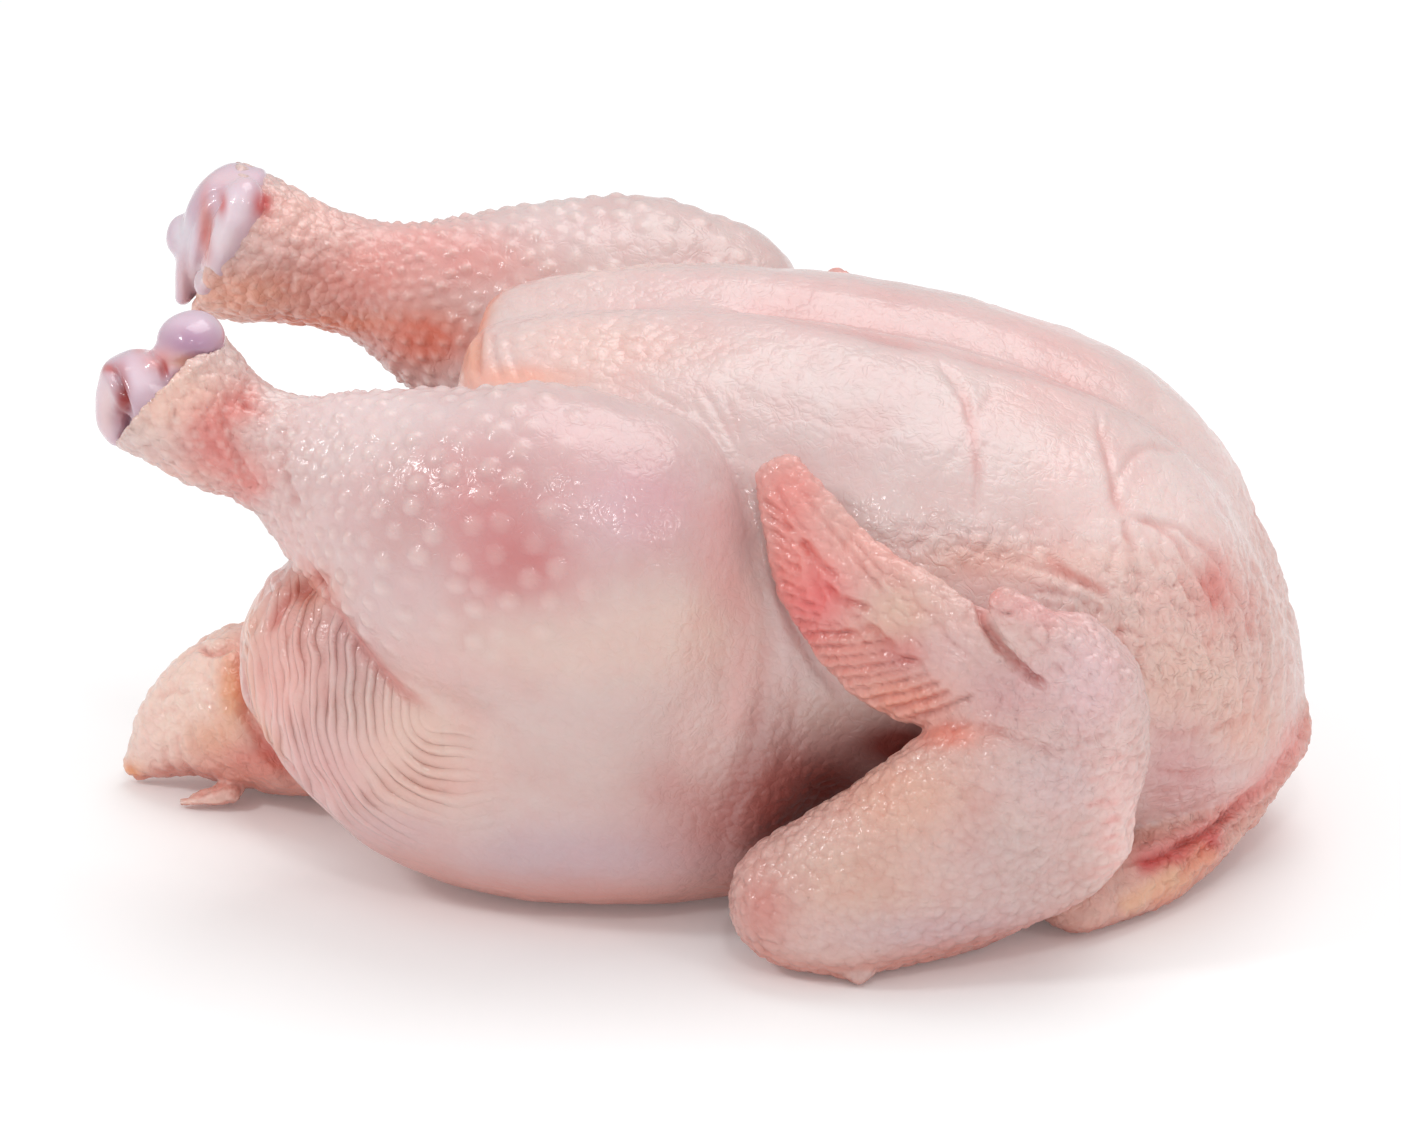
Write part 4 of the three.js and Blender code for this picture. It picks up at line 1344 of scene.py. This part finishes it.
GRISTLE_GROUND = (204, 172, 188)
gristle_finish = raw_skin("gristle")
gristle_shader = gristle_finish.node_tree.nodes["Principled BSDF"]
gristle_shader.inputs["Subsurface Weight"].default_value = 0.1
gristle_shader.inputs["Coat Weight"].default_value = 0.8
gristle_shader.inputs["Coat Roughness"].default_value = 0.06
GRISTLE_VOXEL_MM = 0.5
left_room = block((-130, -58, 88), (-84, -24, 132), GRISTLE_VOXEL_MM)
right_room = block((-134, 20, 92), (-90, 58, 134), GRISTLE_VOXEL_MM)
LEFT_EGGS = [
    (seen_at(191, 340, -41), (1, 0, 0.1), (7.0, 5.8, 8.0), 1),
    (seen_at(140, 382, -41), (0.8, 0, 0.6), (5.4, 6.0, 7.6), 1.2),
    (seen_at(114, 390, -40), (0.2, 0, 1), (5.8, 3.6, 6.6), 0.8),
    (seen_at(116, 416, -41), (-0.2, 0, 1), (5.2, 3.8, 6.4), 1.5),
    (seen_at(124, 424, -43.5), (0.5, 0, 1), (4.8, 2.6, 3.6), 1.2),
    (seen_at(160, 362, -43), (1, 0, 0.6), (5.0, 3.0, 4.4), 1.5),
    (seen_at(178, 368, -46), (1, 0, 0.5), (4.0, 1.8, 2.6), 0.8),
    (seen_at(165, 398, -41.5), (1, 0, -0.6), (13.5, 7.0, 12.0), 2.0),
    ((-100.5, -42, 103.5), (-0.79, 0, 0.61), (5, 14, 14.5), 2),
]
LEFT_GROOVES = [
    ([(110, 362), (118, 384), (126, 408), (132, 432)], 1.8, 4.5),
    ([(146, 346), (152, 356), (162, 366), (168, 382)], 1.0, 4),
]
LEFT_TINTS = [
    # Painted light and shade on the upper knuckle's lilac: lighter on its top and a darker purple on its
    # lower half.
    ((190, 322), (30, 10), (218, 192, 208), 0.9),
    ((190, 344), (30, 16), (182, 138, 168), 0.9),
    ((142, 376), (22, 22), (230, 208, 220), 0.9),
    ((146, 400), (14, 12), (206, 176, 190), 0.7),
    ((106, 410), (10, 32), (226, 196, 196), 0.85),
    ((122, 396), (7, 26), (158, 40, 38), 1),
    ((106, 368), (12, 5), (190, 84, 80), 0.8),
    ((160, 360), (18, 12), (228, 164, 164), 0.85),
    ((164, 368), (5, 10), (186, 60, 60), 0.8),
    ((186, 362), (16, 7), (234, 178, 156), 0.8),
    ((140, 348), (7, 6), (214, 110, 106), 0.6),
]
gristle_end("left_leg_gristle", "left_leg_bone", left_room, LEFT_EGGS, [], LEFT_GROOVES, LEFT_TINTS)
RIGHT_EGGS = [
    (seen_at(239, 213, 32), (-0.3, 0, -0.95), (8.0, 5.0, 6.6), 1),
    (seen_at(222, 246, 29), (-0.4, 0, -0.92), (9.0, 3.4, 6.0), 1.5),
    (seen_at(206, 279, 29), (-0.3, 0, -0.95), (3.6, 2.4, 4.6), 0.5),
    (seen_at(212, 228, 34.5), (-0.4, 0, -0.92), (10.0, 4.0, 5.0), 1.5),
    (seen_at(182, 236, 41), (-0.1, 0, -0.95), (4.6, 3.2, 6.0), 1.5),
    (seen_at(214, 240, 41), (-0.3, 0, -0.95), (12.5, 6.0, 8.5), 1.5),
    ((-105, 40.3, 110.2), (-0.95, 0, 0.32), (5, 15, 15.5), 2),
]
RIGHT_ROLLS = [([(256, 182), (228, 177), (206, 192), (193, 222), (187, 258), (186, 290)], 40.5, 2.2, 7)]
RIGHT_GROOVES = [([(222, 192), (208, 218), (203, 250), (196, 288)], 1.2, 4)]
RIGHT_TINTS = [
    ((238, 206), (24, 26), (238, 218, 228), 0.9),
    ((222, 240), (18, 26), (238, 220, 226), 0.9),
    ((228, 178), (24, 8), (228, 196, 204), 0.8),
    ((222, 203), (5, 12), (210, 104, 104), 0.9),
    ((205, 236), (6, 44), (220, 140, 132), 0.9),
    ((262, 204), (10, 14), (208, 74, 74), 0.9),
    ((183, 236), (12, 22), (226, 216, 224), 0.9),
    ((186, 280), (12, 24), (220, 190, 194), 0.85),
    ((206, 276), (10, 12), (236, 222, 224), 0.9),
]
gristle_end(
    "right_leg_gristle", "right_leg_bone", right_room, RIGHT_EGGS, RIGHT_ROLLS, RIGHT_GROOVES, RIGHT_TINTS
)
